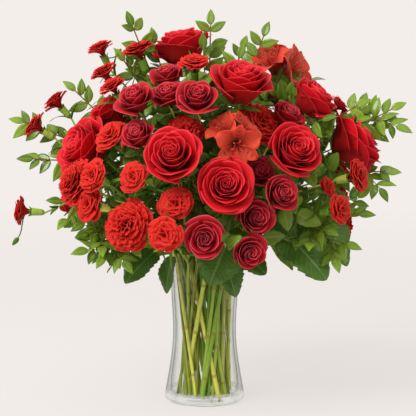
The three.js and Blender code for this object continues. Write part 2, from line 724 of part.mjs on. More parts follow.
// One twig with its leaflets, which are left out where a bloom or a stem is in the way
function leafyTwig({ points, radii }, taken) {
  const parts = [tube(points, radii, FORK_SIDES)];
  const { length, width, thick, spacing, pairs, spread } = LEAFLET;
  const fits = (base, way, size) => LEAFLET_PROBES.every(([share, half]) => {
    const place = base.clone().addScaledVector(way, share * size);
    return taken.every(({ a, b, radius }) => {
      return place.distanceTo(nearestOn(a, b, place)) > radius + half * width + LEAFLET_ROOM;
    });
  });
  const add = (base, way, face, size) => {
    if (!fits(base, way, size)) return;
    parts.push(blade(base, way, face, size, width * size / length, thick, LEAFLET_OUTLINE));
  };
  for (let pair = 0; pair <= pairs; pair++) {
    const spot = backAlong(points, pair * spacing);
    if (!spot) break;
    const { place, way } = spot;
    const across = way.clone().cross(new THREE.Vector3(0, place.y < BACK_Y ? -1 : 1, FACE_RISE)).normalize();
    const face = across.clone().cross(way).normalize();
    if (pair === 0) {
      add(place.clone().addScaledVector(way, -LEAFLET_BITE), way, face, length);
      continue;
    }
    for (const side of [-1, 1]) {
      const leafWay = way.clone().multiplyScalar(Math.cos(spread * DEG))
        .addScaledVector(across, side * Math.sin(spread * DEG))
        .addScaledVector(face, LEAFLET_LIFT).normalize();
      const size = LEAST_SIZE + SIZE_RANGE * draw(pair * 7 + side * 3 + points[0].x);
      add(place, leafWay, face, length * size);
    }
  }
  return parts;
}

// One branch: its woody stem from the glass floor to the first tip, and twigs to the others
function branchSolid(branch, taken) {
  const rising = branch.neck.clone().sub(branch.foot).normalize();
  const [lead, ...others] = branch.ends;
  const main = bend(branch.neck, rising, lead, branch.way, MAIN_STEPS);
  bendClear(main, 1, main.length - 2, taken, BRANCH_RADIUS + BRANCH_ROOM);
  const whole = [branch.foot, ...main];
  const taper = (BRANCH_RADIUS - TIP_RADIUS) / MAIN_STEPS;
  const radii = whole.map((_, i) => BRANCH_RADIUS - taper * i);
  const parts = leafyTwig({ points: whole, radii }, taken);
  const filled = spaceAlong({ points: whole, radii });
  others.forEach((tip, i) => {
    const from = 2 + (i % 3);
    const start = main[from];
    const startWay = main[from + 1].clone().sub(main[from - 1]).normalize();
    const points = bend(start, startWay, tip, tip.clone().sub(CROWN).normalize(), TWIG_STEPS);
    bendClear(points, 1, points.length - 2, taken, TWIG_RADIUS + BRANCH_ROOM);
    const twig = { points, radii: points.map(() => TWIG_RADIUS) };
    parts.push(...leafyTwig(twig, taken));
    filled.push(...spaceAlong(twig));
  });
  return { solid: wasm.Manifold.union(parts), filled };
}

function vaseSolid() {
  const profile = [[0, 0], ...VASE_OUTSIDE, ...VASE_LIP, ...VASE_INSIDE, [0, VASE_FLOOR]];
  const lathe = new THREE.LatheGeometry(profile.map(([r, z]) => new THREE.Vector2(r, z)), VASE_SIDES);
  lathe.rotateX(Math.PI / 2);
  lathe.deleteAttribute("normal");
  lathe.deleteAttribute("uv");
  const merged = mergeVertices(lathe, 1e-3);
  const index = merged.getIndex();
  const position = merged.getAttribute("position");
  const vertices = [];
  for (let i = 0; i < position.count; i++) {
    vertices.push(new THREE.Vector3().fromBufferAttribute(position, i));
  }
  const faces = [];
  for (let i = 0; i < index.count; i += 3) {
    const face = [index.getX(i), index.getX(i + 1), index.getX(i + 2)];
    if (new Set(face).size === 3) faces.push(face);
  }
  return solidOf(vertices, faces);
}

const bouquet = new THREE.Group();

function addNode(name, solid, colour, roughness) {
  const { vertProperties, triVerts, numProp } = solid.getMesh();
  const position = new THREE.BufferAttribute(Float32Array.from(vertProperties), numProp);
  const geometry = new THREE.BufferGeometry();
  geometry.setAttribute("position", position);
  geometry.setIndex(new THREE.BufferAttribute(Uint32Array.from(triVerts), 1));
  const material = new THREE.MeshStandardMaterial({ color: colour, roughness });
  const node = new THREE.Mesh(geometry, material);
  node.name = name;
  bouquet.add(node);
}

placeNecks([...branches, ...stems]);
placeFeet([...branches, ...stems]);
const routes = [];
const stemSpace = [];
for (const stem of stems) {
  const own = stemRoutes(stem, stemSpace);
  routes.push(...own);
  stemSpace.push(...own.flatMap(spaceAlong));
}
const taken = [...blooms.map((bloom) => bloom.space), ...stemSpace];
const branchSpace = [];
for (const branch of branches) {
  const { solid, filled } = branchSolid(branch, taken);
  branch.solid = solid;
  taken.push(...filled);
  branchSpace.push(...filled);
}
const stemParts = routes.map(({ points, radii, sides }) => tube(points, radii, sides));
COLLAR_LEAVES.forEach((leaf, i) => stemParts.push(collarLeaf(leaf, i, routes, branchSpace)));

addNode("vase", vaseSolid(), COLOURS.glass, ROUGHNESS.glass);
addNode("flower_stems", wasm.Manifold.union(stemParts), COLOURS.stem, ROUGHNESS.stem);
for (const branch of branches) addNode(branch.name, branch.solid, COLOURS.leaf, ROUGHNESS.leaf);

for (const node of new Set(blooms.map((bloom) => bloom.node))) {
  const together = blooms.filter((bloom) => bloom.node === node);
  const solid = wasm.Manifold.union(together.map(bloomSolid));
  addNode(node, solid, COLOURS[together[0].kind], ROUGHNESS.petal);
}

export default bouquet;
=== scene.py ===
# %% [markdown]
# # A red bouquet in a clear glass vase
# The real object is a florist's bouquet: roses, spray roses, carnations and
# alstroemeria, with leafy sprigs between them, on stems that cross in a waisted
# vase. It could be sculpted by hand, but a bouquet is mostly repeats of a few
# kinds of petal and leaf, so each kind here is one formula, worked out on whole
# numpy arrays and placed many times. Lengths are millimetres until a mesh is made.

import math

import bmesh
import bpy
import numpy as np
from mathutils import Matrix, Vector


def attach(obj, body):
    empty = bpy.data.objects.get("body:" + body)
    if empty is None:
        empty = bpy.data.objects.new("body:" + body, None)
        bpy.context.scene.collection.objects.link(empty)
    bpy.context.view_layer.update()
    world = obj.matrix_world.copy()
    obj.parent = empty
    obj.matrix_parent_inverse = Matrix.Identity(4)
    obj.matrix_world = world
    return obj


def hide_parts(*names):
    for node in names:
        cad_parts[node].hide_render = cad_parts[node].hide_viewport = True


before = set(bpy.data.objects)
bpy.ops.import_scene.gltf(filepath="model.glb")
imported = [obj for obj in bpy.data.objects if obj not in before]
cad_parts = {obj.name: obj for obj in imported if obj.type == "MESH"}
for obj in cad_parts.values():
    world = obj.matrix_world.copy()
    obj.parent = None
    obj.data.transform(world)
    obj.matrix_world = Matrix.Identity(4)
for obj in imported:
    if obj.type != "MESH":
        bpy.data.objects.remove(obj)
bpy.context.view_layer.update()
MM = 0.001
TAU = 2 * math.pi
GOLDEN = math.pi * (3 - math.sqrt(5))
UP = np.array([0, 0, 1.0])

# %% [markdown]
# ## Where each bloom is
# The solids were laid out by a rule from a short table: for each bloom its kind,
# its radius, the middle of its rim, the way it faces and the stem it grows on.
# Reading places off the solids would give boxes, not facings, so the same table
# stands here, and the same rule gives the same stems.

# %% The blooms of each kind: number, radius, rim, facing as azimuth and elevation, stem
BLOOMS = {
    "rose": [
        (1, 39, (-42, -196, 364), (-10, 27), "r1"), (2, 37, (27, -200, 324), (4, 16), "r2"),
        (3, 38, (121, -168, 369), (24, 27), "r3"), (4, 42, (53, -148, 456), (16, 46), "r4"),
        (5, 36, (-32, -14, 510), (-60, 78), "r5"), (6, 33, (154, -60, 435), (72, 48), "r6"),
        (7, 38, (216, -40, 366), (72, 22), "r7"), (8, 40, (-171, -72, 367), (-56, 26), "r8"),
        (9, 35, (-139, -24, 421), (-78, 50), "r9"), (10, 38, (101, 161, 347), (148, 29), "r10"),
        (11, 39, (-98, 170, 313), (-150, 20), "r11"), (12, 38, (18, 125, 447), (172, 59), "r12"),
        (13, 37, (-123, 96, 425), (-128, 50), "r13")],
    "spray_rose": [
        (1, 26, (-92, -154, 436), (-31, 47), "s1"), (2, 23, (-49, -140, 442), (-19, 54), "s2"),
        (3, 27, (-9, -166, 438), (-3, 44), "s2"), (4, 22, (-51, -104, 468), (-24, 62), "s2"),
        (5, 24, (-88, -159, 388), (-28, 39), "s1"), (6, 23, (73, -148, 339), (26, 31), "s3"),
        (7, 25, (102, -183, 312), (29, 19), "s3"), (8, 26, (67, -181, 280), (20, 11), "s4"),
        (9, 24, (60, -186, 234), (18, -4), "s4"), (10, 27, (0, -207, 254), (-1, 4), "s4"),
        (11, 24, (113, -110, 415), (46, 48), "s3"), (12, 25, (136, 93, 418), (125, 47), "s6"),
        (12, 24, (102, 100, 441), (134, 55), "s6"), (12, 23, (130, 126, 397), (135, 38), "s6"),
        (12, 24, (70, 88, 464), (140, 66), "s6"), (13, 25, (-194, 83, 308), (-113, 18), "s7"),
        (13, 24, (-197, 69, 347), (-108, 28), "s7"), (13, 24, (-188, 95, 269), (-117, 8), "s7"),
        (13, 23, (-203, 53, 283), (-105, 12), "s7")],
    "carnation": [
        (1, 32, (-170, -127, 319), (-54, 21), "c1"), (1, 22, (-141, -160, 330), (-41, 23), "c1"),
        (1, 24, (-147, -149, 293), (-45, 14), "c1"), (2, 31, (-98, -177, 268), (-27, 8), "c2"),
        (3, 22, (-49, -199, 259), (-15, 6), "c3"), (4, 24, (-35, -175, 296), (-11, 17), "c3"),
        (5, 22, (-89, -176, 330), (-27, 25), "c4"), (6, 25, (-121, -128, 380), (-43, 39), "c4"),
        (7, 27, (-27, -132, 388), (-10, 30), "c5"), (8, 27, (74, -112, 399), (32, 34), "c6"),
        (9, 21, (-13, -121, 476), (-6, 63), "c8"), (10, 24, (-90, -50, 496), (-60, 69), "c8"),
        (11, 21, (-144, -20, 499), (-70, 66), "c8"), (12, 22, (-136, -56, 465), (-67, 57), "c9"),
        (13, 21, (-208, -10, 425), (-87, 46), "c10"),
        (14, 22, (-235, -20, 392), (-85, 33), "c10"),
        (15, 22, (-252, -40, 275), (-88, 4), "c10"), (16, 24, (205, -90, 327), (60, 14), "c12"),
        (17, 15, (162, -124, 314), (53, 20), "c12"), (18, 22, (175, -143, 286), (51, 12), "c12"),
        (19, 18, (187, -20, 421), (84, 44), "c12"), (20, 20, (-123, -88, 446), (-56, 54), "c9"),
        (21, 31, (2, 192, 319), (179, 22), "c14"), (21, 23, (16, 196, 281), (174, 11), "c14"),
        (21, 23, (-34, 190, 297), (-170, 14), "c14"), (21, 25, (4, 190, 357), (178, 22), "c14"),
        (22, 31, (196, 80, 283), (112, 11), "c15"), (22, 24, (197, 67, 321), (106, 18), "c13"),
        (22, 22, (191, 52, 351), (102, 26), "c13"), (22, 23, (203, 60, 247), (106, 1), "c15"),
        (22, 23, (181, 106, 255), (121, 3), "c15")],
    "alstroemeria": [
        (1, 34, (42, -183, 393), (10, 32), "a1"), (2, 34, (112, 4, 488), (60, 60), "a2")],
}
print("blooms", {kind: len(rows) for kind, rows in BLOOMS.items()})

# %% The leafy branches by the tips of their twigs, and the broad collar leaves
BRANCHES = [
    ("branch_1", [(-106, -30, 548), (-73, -20, 526), (-120, -40, 498)]),
    ("branch_2", [(9, 0, 553), (53, -40, 504), (-2, -60, 516)]),
    ("branch_3", [(89, 0, 536), (226, -38, 430), (172, -100, 408)]),
    ("branch_4", [(278, -20, 425), (262, -4, 396), (269, -40, 331)]),
    ("branch_5", [(227, -90, 276), (206, -110, 233), (172, -140, 256)]),
    ("branch_6", [(-197, 12, 455), (-274, 8, 404), (-253, -60, 350)]),
    ("branch_7", [(-209, -90, 295), (-168, -120, 249), (-140, -140, 214)]),
    ("branch_8", [(-50, 110, 505), (60, 60, 520), (-170, 120, 355), (66, 200, 300)]),
]
COLLAR_LEAVES = [
    ((-68, -70, 222), (-111, -100, 187), 42, (-30, 30)),
    ((-44, -70, 216), (-58, -84, 166), 30, (-50, 15)),
    ((30, -75, 230), (5, -100, 180), 58, (-5, 30)),
    ((27, -74, 212), (46, -90, 162), 36, (20, 15)),
    ((48, -72, 222), (86, -90, 196), 40, (25, 20)),
    ((108, -95, 252), (169, -125, 195), 68, (20, 30)),
    ((164, -60, 268), (204, -74, 204), 44, (35, 20)),
    ((84, -88, 281), (126, -112, 244), 48, (15, 40)),
    ((80, 45, 232), (138, 62, 186), 54, (115, 40)),
    ((50, 80, 232), (88, 132, 186), 54, (150, 40)),
    ((-2, 95, 228), (-6, 150, 180), 54, (180, 40)),
    ((-50, 80, 234), (-92, 134, 190), 54, (-145, 40)),
    ((-88, 15, 232), (-150, 22, 188), 52, (-95, 40)),
]
# Radii of stem and fork in mm. In radii of the bloom: how far its base lies behind its rim,
# the radius of the round space that it fills, and how far behind the rim that space's middle is
KINDS = {
    "rose": dict(stem=3.2, fork=1.6, base=1.05, space=0.94, behind=0.25),
    "spray_rose": dict(stem=2.7, fork=1.4, base=1.0, space=0.92, behind=0.25),
    "carnation": dict(stem=2.5, fork=1.3, base=0.5, space=0.92, behind=0.25),
    "alstroemeria": dict(stem=2.7, fork=1.4, base=0.9, space=0.92, behind=0.3),
}
GAP = 0.3    # between the base of a bloom and the tip of its stem
FOOT_Z, NECK_Z = 10.2, 203.0    # heights of the stems' feet and of the neck
CROWN = np.array([0.0, 0.0, 235.0])    # the place that the whole bouquet fans out from
# How many stems stand in each ring of the neck, and the ring's radius
NECK_RINGS = [(4, 9), (8, 20), (12, 31), (18, 41)]
# Radii and heights of the glass from inside
VASE_INSIDE = [(45.5, 202), (43.9, 153), (41.5, 108), (42.7, 75), (47.3, 40), (49.5, 15), (46, 9)]
BRANCH_RADIUS, TWIG_RADIUS = 1.9, 0.9
MAIN_STEPS, TWIG_STEPS = 7, 5
BEND_REACH = 0.4    # share of the distance between a bend's ends that its ways reach along
print("branches", len(BRANCHES), "collar leaves", len(COLLAR_LEAVES))

# %% [markdown]
# ## Small helpers for ways and places
# A way is a unit vector. Every later formula is written with these few, so that
# a petal can be worked out flat and then turned to face wherever its bloom does.

# %% Ways, squares and repeatable chance
def unit(vector):
    """A vector divided by its own length; works on whole arrays of vectors."""
    vector = np.asarray(vector, float)
    return vector / np.maximum(np.linalg.norm(vector, axis=-1, keepdims=True), 1e-12)


def draw(seed):
    """A repeatable number from 0 to 1: the fraction of a large sine of the seed."""
    value = np.sin(np.asarray(seed, float) * 12.9898) * 43758.5453
    return value - np.floor(value)


def way_of(azimuth, elevation):
    """Azimuth 0 looks to the front and 90 to the right; elevation rises from level."""
    a, e = math.radians(azimuth), math.radians(elevation)
    return np.array([math.sin(a) * math.cos(e), -math.cos(a) * math.cos(e), math.sin(e)])


def azimuth_of(vector):
    """The azimuth in degrees that a vector looks to."""
    return math.degrees(math.atan2(vector[0], -vector[1]))


def sides_of(way):
    """Two unit vectors square to a way, the first of them level."""
    level = np.cross([0.0, 0.0, 1.0], way)
    if np.linalg.norm(level) < 1e-3:
        level = np.array([1.0, 0.0, 0.0])
    level = unit(level)
    return level, np.cross(way, level)


def bezier(p0, p1, p2, p3, t):
    """A cubic curve: its four points weighted by the powers of t and 1 - t."""
    s = 1 - t
    return s ** 3 * p0 + 3 * s * s * t * p1 + 3 * s * t * t * p2 + t ** 3 * p3


def bend(start, start_way, end, end_way, steps):
    """A smooth bend from one point and way to another, as steps + 1 points."""
    reach = np.linalg.norm(end - start) * BEND_REACH
    t = np.linspace(0, 1, steps + 1)[:, None]
    return bezier(start, start + start_way * reach, end - end_way * reach, end, t)


print("a bend", bend(np.zeros(3), way_of(0, 0), CROWN, way_of(0, 90), 2).round(1).tolist())

# %% [markdown]
# ## Room among the blooms
# A stem may not run through a bloom or another stem. Each thing that already
# stands is kept as a capsule: a straight line with a radius. A route's free points
# are pushed out of the capsules again and again, and drawn a little towards their
# neighbours after each push, until the route lies clear and smooth.

# %% Capsules and routes that keep clear of them
def nearest_on(a, b, place):
    """The point of each straight stretch a to b that lies nearest to a place."""
    along = b - a
    size = (along ** 2).sum(-1)
    share = np.where(size > 0, ((place - a) * along).sum(-1) / np.where(size > 0, size, 1), 0)
    return a + along * np.clip(share, 0, 1)[..., None]


PUSHES, PUSH, EASE = 30, 0.6, 0.06


def bend_clear(points, taken, room):
    """Push all points but the ends out of the capsules, then ease them, again and again."""
    a, b, radius = capsules(*taken)
    for _ in range(PUSHES):
        for i in range(1, len(points) - 1):
            start = 0
            while start < len(radius):
                away = points[i] - nearest_on(a[start:], b[start:], points[i])
                short = radius[start:] + room - np.linalg.norm(away, axis=1)
                hits = np.flatnonzero(short > 0)
                if not len(hits):
                    break
                points[i] += unit(away[hits[0]]) * short[hits[0]] * PUSH
                start += hits[0] + 1
            points[i] += EASE * ((points[i - 1] + points[i + 1]) / 2 - points[i])


def capsules(*lists):
    """Lists of (start, end, radius) as three arrays."""
    rows = [row for rows in lists for row in rows]
    return tuple(np.array(column, float) for column in zip(*rows))


def space_along(points, radii):
    """The straight stretches of a route as capsules, each with its wider end's radius."""
    return [(points[i], points[i + 1], max(radii[i], radii[i + 1])) for i in range(len(points) - 1)]


blooms = []
for kind, rows in BLOOMS.items():
    for number, radius, rim, facing, stem in rows:
        facts, way, rim = KINDS[kind], way_of(*facing), np.array(rim, float)
        centre = rim - way * facts["behind"] * radius
        blooms.append(dict(node=f"{kind}_{number}", kind=kind, radius=radius, way=way, stem=stem,
                           index=len(blooms), base=rim - way * facts["base"] * radius,
                           space=(centre, centre, facts["space"] * radius)))
bloom_space = [bloom["space"] for bloom in blooms]
print("bloom spaces", len(bloom_space))

# %% [markdown]
# ## How the stems stand in the vase
# Cut stems cross on their way down, because the florist turns each one as it goes
# in. The stems that rise highest stand in the middle of the neck, each ring keeps
# their order round the bouquet, and every stem leans on one that already stands.

# %% Necks and feet by the same rule as the solids
stems = []
for name in dict.fromkeys(bloom["stem"] for bloom in blooms):
    carried = [bloom for bloom in blooms if bloom["stem"] == name]
    middle = sum(bloom["base"] for bloom in carried) / len(carried)
    stems.append(dict(name=name, carried=carried, middle=middle, way=unit(middle - CROWN),
                      radius=KINDS[carried[0]["kind"]]["stem"], branch=False))
branches = []
for name, tips in BRANCHES:
    ends = np.array(tips, float)
    branches.append(dict(name=name, ends=ends, way=unit(ends[0] - CROWN),
                         radius=BRANCH_RADIUS, branch=True))


def on_circle(azimuth, radius):
    """A level place at an azimuth and a distance from the middle."""
    a = math.radians(azimuth)
    return np.array([math.sin(a) * radius, -math.cos(a) * radius])


def place_necks(lines):
    """Fill the neck's rings from the middle, steepest first, each in order of azimuth."""
    order = sorted(lines, key=lambda line: -line["way"][2])
    used = 0
    for count, radius in NECK_RINGS:
        ring = sorted(order[used:used + count], key=lambda line: azimuth_of(line["way"]))
        used += count
        lag = sum(way_of(azimuth_of(line["way"]) - 360 * i / len(ring), 0)
                  for i, line in enumerate(ring))
        for i, line in enumerate(ring):
            line["neck"] = on_circle(azimuth_of(lag) + 360 * i / len(ring), radius)


def level_gap(foot, neck, feet, necks):
    """The least level distance between straight stems, for all pairs of two lists."""
    low = foot[:, None] - feet[None]
    high = (neck - necks)[None] + np.zeros_like(low)
    return np.linalg.norm(nearest_on(low, high, np.zeros(2)), axis=-1)


FLOOR_RINGS, FLOOR_STEP = (14, 27, 40), 15
LEAN_HEIGHTS = range(30, 171, 10)
LEAN_SHARE, LEAN_REACH = 0.68, 41


def possible_feet(line, standing):
    """Places all over the floor for a branch, and leaning places for a flower stem."""
    leans = [i for i, other in enumerate(standing) if not other["branch"]]
    if line["branch"] or not leans:
        return [(on_circle(a, r), -1) for r in FLOOR_RINGS for a in range(0, 360, FLOOR_STEP)]
    feet = []
    for i in leans:
        other = standing[i]
        drift = (other["neck"] - other["foot"]) / (NECK_Z - FOOT_Z)
        for height in LEAN_HEIGHTS:
            touch = other["foot"] + drift * (height - FOOT_Z)
            rise = NECK_Z - height
            apart = (line["neck"] - touch) / rise - drift
            square = unit(np.array([-apart[1], apart[0]]))
            for side in (-1, 1):
                at = touch + square * side * LEAN_SHARE * (line["radius"] + other["radius"])
                foot = line["neck"] + (at - line["neck"]) * (NECK_Z - FOOT_Z) / rise
                if np.hypot(*foot) < LEAN_REACH:
                    feet.append((foot, i))
    return feet


LEVEL_TRAVEL, TRAVEL_COST = 52, 0.05
INWARD_SHARE, INWARD_COST = 0.88, 0.15
GLASS_ROOM, BRANCH_ROOM, HIT_COST = 0.6, 1, 50


def place_feet(lines):
    """For each line the foot that crowds least: travel, glass, and stems in the way."""
    standing = []
    for line in lines:
        foot, partner = map(np.array, zip(*possible_feet(line, standing)))
        neck = line["neck"]
        cost = TRAVEL_COST * np.abs(np.linalg.norm(neck - foot, axis=1) - LEVEL_TRAVEL)
        inmost = np.linalg.norm(nearest_on(foot, neck + 0 * foot, np.zeros(2)), axis=-1)
        cost += INWARD_COST * np.maximum(0, INWARD_SHARE * np.linalg.norm(neck) - inmost)
        for radius, height in VASE_INSIDE:
            share = (max(height, FOOT_Z) - FOOT_Z) / (NECK_Z - FOOT_Z)
            out = np.linalg.norm(foot + (neck - foot) * share, axis=1) + line["radius"]
            cost += HIT_COST * np.maximum(0, out + GLASS_ROOM - radius)
        if standing:
            feet, necks, radii, branch = (np.array([other[key] for other in standing])
                                          for key in ("foot", "neck", "radius", "branch"))
            apart = level_gap(foot, neck, feet, necks) - line["radius"] - radii[None]
            strict = HIT_COST * np.maximum(0, BRANCH_ROOM - apart)
            each = np.where(line["branch"] | branch[None], strict, np.maximum(0, -apart))
            each[np.arange(len(standing))[None] == partner[:, None]] = 0
            cost += each.sum(1)
        line["foot"] = foot[np.argmin(cost)]
        standing.append(line)


place_necks(branches + stems)
place_feet(branches + stems)
for line in branches + stems:
    line["foot"] = np.append(line["foot"], FOOT_Z)
    line["neck"] = np.append(line["neck"], NECK_Z)
print("stems", len(stems), "first foot", stems[0]["foot"].round(1))

# %% [markdown]
# ## The way of each stem to its bloom
# A stem rises straight to the neck and then bends out to the bloom's base, where
# it meets it along the bloom's own way. A spray forks about halfway.

# %% Routes of the flower stems
STEM_ROOM, BRANCH_CLEARANCE = 2, 3.2
STEM_STEPS = 3
FORK_SHARE = 0.6


def into_bloom(start, start_way, bloom, thin, filled):
    """Bend to a point behind the bloom, then straight in, with the calyx's radii."""
    r = bloom["radius"]
    end = [(0.3 * r, thin), (0, 0.21 * r)]
    if bloom["kind"] == "carnation":
        end = [(0.85 * r, thin), (0.7 * r, 0.2 * r), (0, 0.26 * r)]
    tip = bloom["base"] - bloom["way"] * GAP
    points = bend(start, start_way, tip - bloom["way"] * end[0][0], bloom["way"], STEM_STEPS)
    others = [other["space"] for other in blooms if other is not bloom]
    bend_clear(points, (others, filled), thin + STEM_ROOM)
    radii = [thin] * len(points) + [radius for _, radius in end[1:]]
    return np.vstack([points] + [tip - bloom["way"] * behind for behind, _ in end[1:]]), radii


def stem_routes(stem, filled):
    """The main stem up to its first bloom, and a fork to each of the others."""
    rising = unit(stem["neck"] - stem["foot"])
    first, *others = stem["carried"]
    thick = stem["radius"]
    if not others:
        points, radii = into_bloom(stem["neck"], rising, first, thick, filled)
        return [dict(points=np.vstack([stem["foot"], points]), bloom=first, foot=True,
                     radii=[thick] + radii)]
    fork = CROWN + (stem["middle"] - CROWN) * FORK_SHARE
    main = bend(stem["neck"], rising, fork, stem["way"], STEM_STEPS)
    bend_clear(main, (bloom_space, filled), thick + STEM_ROOM)
    thin = KINDS[first["kind"]]["fork"]
    forks = [into_bloom(fork, stem["way"], bloom, thin, filled) for bloom in stem["carried"]]
    lead, lead_radii = forks[0]
    routes = [dict(points=np.vstack([stem["foot"], main, lead[1:]]), bloom=first, foot=True,
                   radii=[thick] * (1 + len(main)) + lead_radii[1:])]
    return routes + [dict(points=points, radii=radii, bloom=bloom, foot=False)
                     for bloom, (points, radii) in zip(others, forks[1:])]


routes, stem_space = [], []
for stem in stems:
    own = stem_routes(stem, stem_space)
    for route in own:
        route["stem"] = stem
        stem_space += space_along(route["points"], route["radii"])
    routes += own
print("routes", len(routes))

# %% Routes of the leafy branches and their twigs
taken = bloom_space + stem_space
for branch in branches:
    rising = unit(branch["neck"] - branch["foot"])
    lead, *others = branch["ends"]
    main = bend(branch["neck"], rising, lead, branch["way"], MAIN_STEPS)
    bend_clear(main, (taken,), BRANCH_RADIUS + BRANCH_CLEARANCE)
    whole = np.vstack([branch["foot"], main])
    radii = [BRANCH_RADIUS - (BRANCH_RADIUS - 1) / MAIN_STEPS * i for i in range(len(whole))]
    branch["twigs"] = [(whole, radii)]
    for i, tip in enumerate(others):
        at = 2 + i % 3
        leaving = unit(main[at + 1] - main[at - 1])
        points = bend(main[at], leaving, tip, unit(tip - CROWN), TWIG_STEPS)
        bend_clear(points, (taken,), TWIG_RADIUS + BRANCH_CLEARANCE)
        branch["twigs"].append((points, [TWIG_RADIUS] * len(points)))
    for points, radii in branch["twigs"]:
        taken = taken + space_along(points, radii)
print("capsules", len(taken))

# %% [markdown]
# ## From arrays to a mesh
# Every shape below is a grid of points, or a stack of such grids: one for each
# petal or leaf. The grids of a piece are gathered, given faces, a UV map (across
# and along the petal) and two numbers a point, tone and mark, which the materials
# read. Rows that shrink to a point, and the seam of a tube, are welded afterwards.

# %% Gather grids and make one mesh of them
SAME_POINT, NO_LENGTH = 2e-6, 1e-7    # metres


class Sheets:
    """Grids of points, in millimetres, that become one piece."""

    def __init__(self):
        self.points, self.faces, self.uv, self.tone, self.mark = [], [], [], [], []
        self.count = 0

    def add(self, grid, tone=0.5, mark=0.0):
        """A stack (n, rows, cols, 3) of grids; tone and mark are numbers or arrays for it."""
        grid = np.asarray(grid, float)
        if grid.ndim == 3:
            grid = grid[None]
        n, rows, cols, _ = grid.shape
        i, j = np.meshgrid(np.arange(rows - 1), np.arange(cols - 1), indexing="ij")
        corner = (i * cols + j).ravel()
        quads = np.stack([corner, corner + 1, corner + cols + 1, corner + cols], 1)
        starts = self.count + np.arange(n)[:, None, None] * rows * cols
        self.faces.append((starts + quads[None]).reshape(-1, 4))
        self.points.append(grid.reshape(-1, 3))
        v, u = np.meshgrid(np.linspace(0, 1, rows), np.linspace(0, 1, cols), indexing="ij")
        self.uv.append(np.tile(np.stack([u, v], -1).reshape(-1, 2), (n, 1)))
        for store, value in ((self.tone, tone), (self.mark, mark)):
            value = np.asarray(value, float)
            if value.ndim == 1:
                value = value[:, None, None]
            store.append(np.broadcast_to(value, (n, rows, cols)).reshape(-1))
        self.count += n * rows * cols

    def piece(self, name, *materials, thickness=0.0):
        """The mesh object: in metres, smooth, and with a Solidify wall if it has a thickness.

        A second material is the underside, and then the wall grows to that side."""
        faces = np.concatenate(self.faces)
        mesh = bpy.data.meshes.new(name)
        mesh.from_pydata((np.concatenate(self.points) * MM).tolist(), [], faces.tolist())
        uv = np.concatenate(self.uv)[faces.ravel()]
        mesh.uv_layers.new(name="sheet").data.foreach_set("uv", uv.ravel())
        for label, values in (("tone", self.tone), ("mark", self.mark)):
            layer = mesh.attributes.new(label, "FLOAT", "POINT")
            layer.data.foreach_set("value", np.concatenate(values).astype(np.float32))
        shape = bmesh.new()
        shape.from_mesh(mesh)
        bmesh.ops.remove_doubles(shape, verts=shape.verts, dist=SAME_POINT)
        bmesh.ops.dissolve_degenerate(shape, dist=NO_LENGTH, edges=shape.edges)
        shape.to_mesh(mesh)
        shape.free()
        mesh.polygons.foreach_set("use_smooth", np.ones(len(mesh.polygons), bool))
        thing = bpy.data.objects.new(name, mesh)
        bpy.context.scene.collection.objects.link(thing)
        for material in materials:
            mesh.materials.append(material)
        if thickness:
            wall = thing.modifiers.new("wall", "SOLIDIFY")
            wall.thickness = thickness * MM
            wall.offset = 1 - len(materials)
            wall.material_offset = len(materials) - 1
        return thing


def settle(thing, node=None):
    """Ride the one body, stand for a node if there is one, and count its faces."""
    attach(thing, "root")
    if node:
        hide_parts(node)
    return len(thing.data.polygons)


def turned(flat, rim, way, radius):
    """Points worked out in a bloom's own frame, in radii, put where the bloom is."""
    side, up = sides_of(way)
    return rim + radius * (flat[..., :1] * side + flat[..., 1:2] * up + flat[..., 2:] * way)


def smooth_line(points, radii, per=6):
    """A Catmull-Rom curve through a route, with per points for each stretch."""
    points, radii = np.asarray(points, float), np.asarray(radii, float)
    padded = np.vstack([2 * points[0] - points[1], points, 2 * points[-1] - points[-2]])
    t = np.linspace(0, 1, per, endpoint=False)[None, :, None]
    p0, p1, p2, p3 = (padded[i:len(points) - 1 + i, None] for i in range(4))
    curve = 0.5 * (2 * p1 + (p2 - p0) * t + (2 * p0 - 5 * p1 + 4 * p2 - p3) * t ** 2
                   + (3 * p1 - 3 * p2 + p3 - p0) * t ** 3)
    line = np.vstack([curve.reshape(-1, points.shape[1]), points[-1]])
    wide = np.interp(np.linspace(0, len(points) - 1, len(line)), np.arange(len(points)), radii)
    return line, wide


def tangents(line):
    """The way along a line at each of its points."""
    return unit(np.gradient(line, axis=0))


def tube(line, radii, cols=9, cut=0.0):
    """Circles square to a line, with a pole at each end; cut slants the first one."""
    way = tangents(line)
    helper = np.eye(3)[np.argmin(np.abs(unit(line[-1] - line[0])))]
    across = unit(np.cross(way, helper))[:, None]
    other = np.cross(across, way[:, None])
    angle = np.linspace(0, TAU, cols)[:, None]
    ring = line[:, None] + radii[:, None, None] * (np.cos(angle) * across + np.sin(angle) * other)
    ring[0] += cut * radii[0] * np.cos(angle) * way[0]
    poles = np.repeat(line[[0, -1], None], cols, axis=1)
    return np.concatenate([poles[:1], ring, poles[1:]])


def arc_length(line):
    """The distance along a line to each of its points."""
    return np.concatenate([[0], np.cumsum(np.linalg.norm(np.diff(line, axis=0), axis=1))])


print("a tube's rows and columns", tube(np.outer(np.arange(4.0), UP), np.ones(4)).shape[:2])

# %% [markdown]
# ## Writing shader maths as expressions
# Petal colour is arithmetic: darker where the petal is hidden, lighter at its
# edge, each petal a little different. Wiring Math nodes by hand hides that, so a
# small class lets ordinary Python expressions add the nodes.

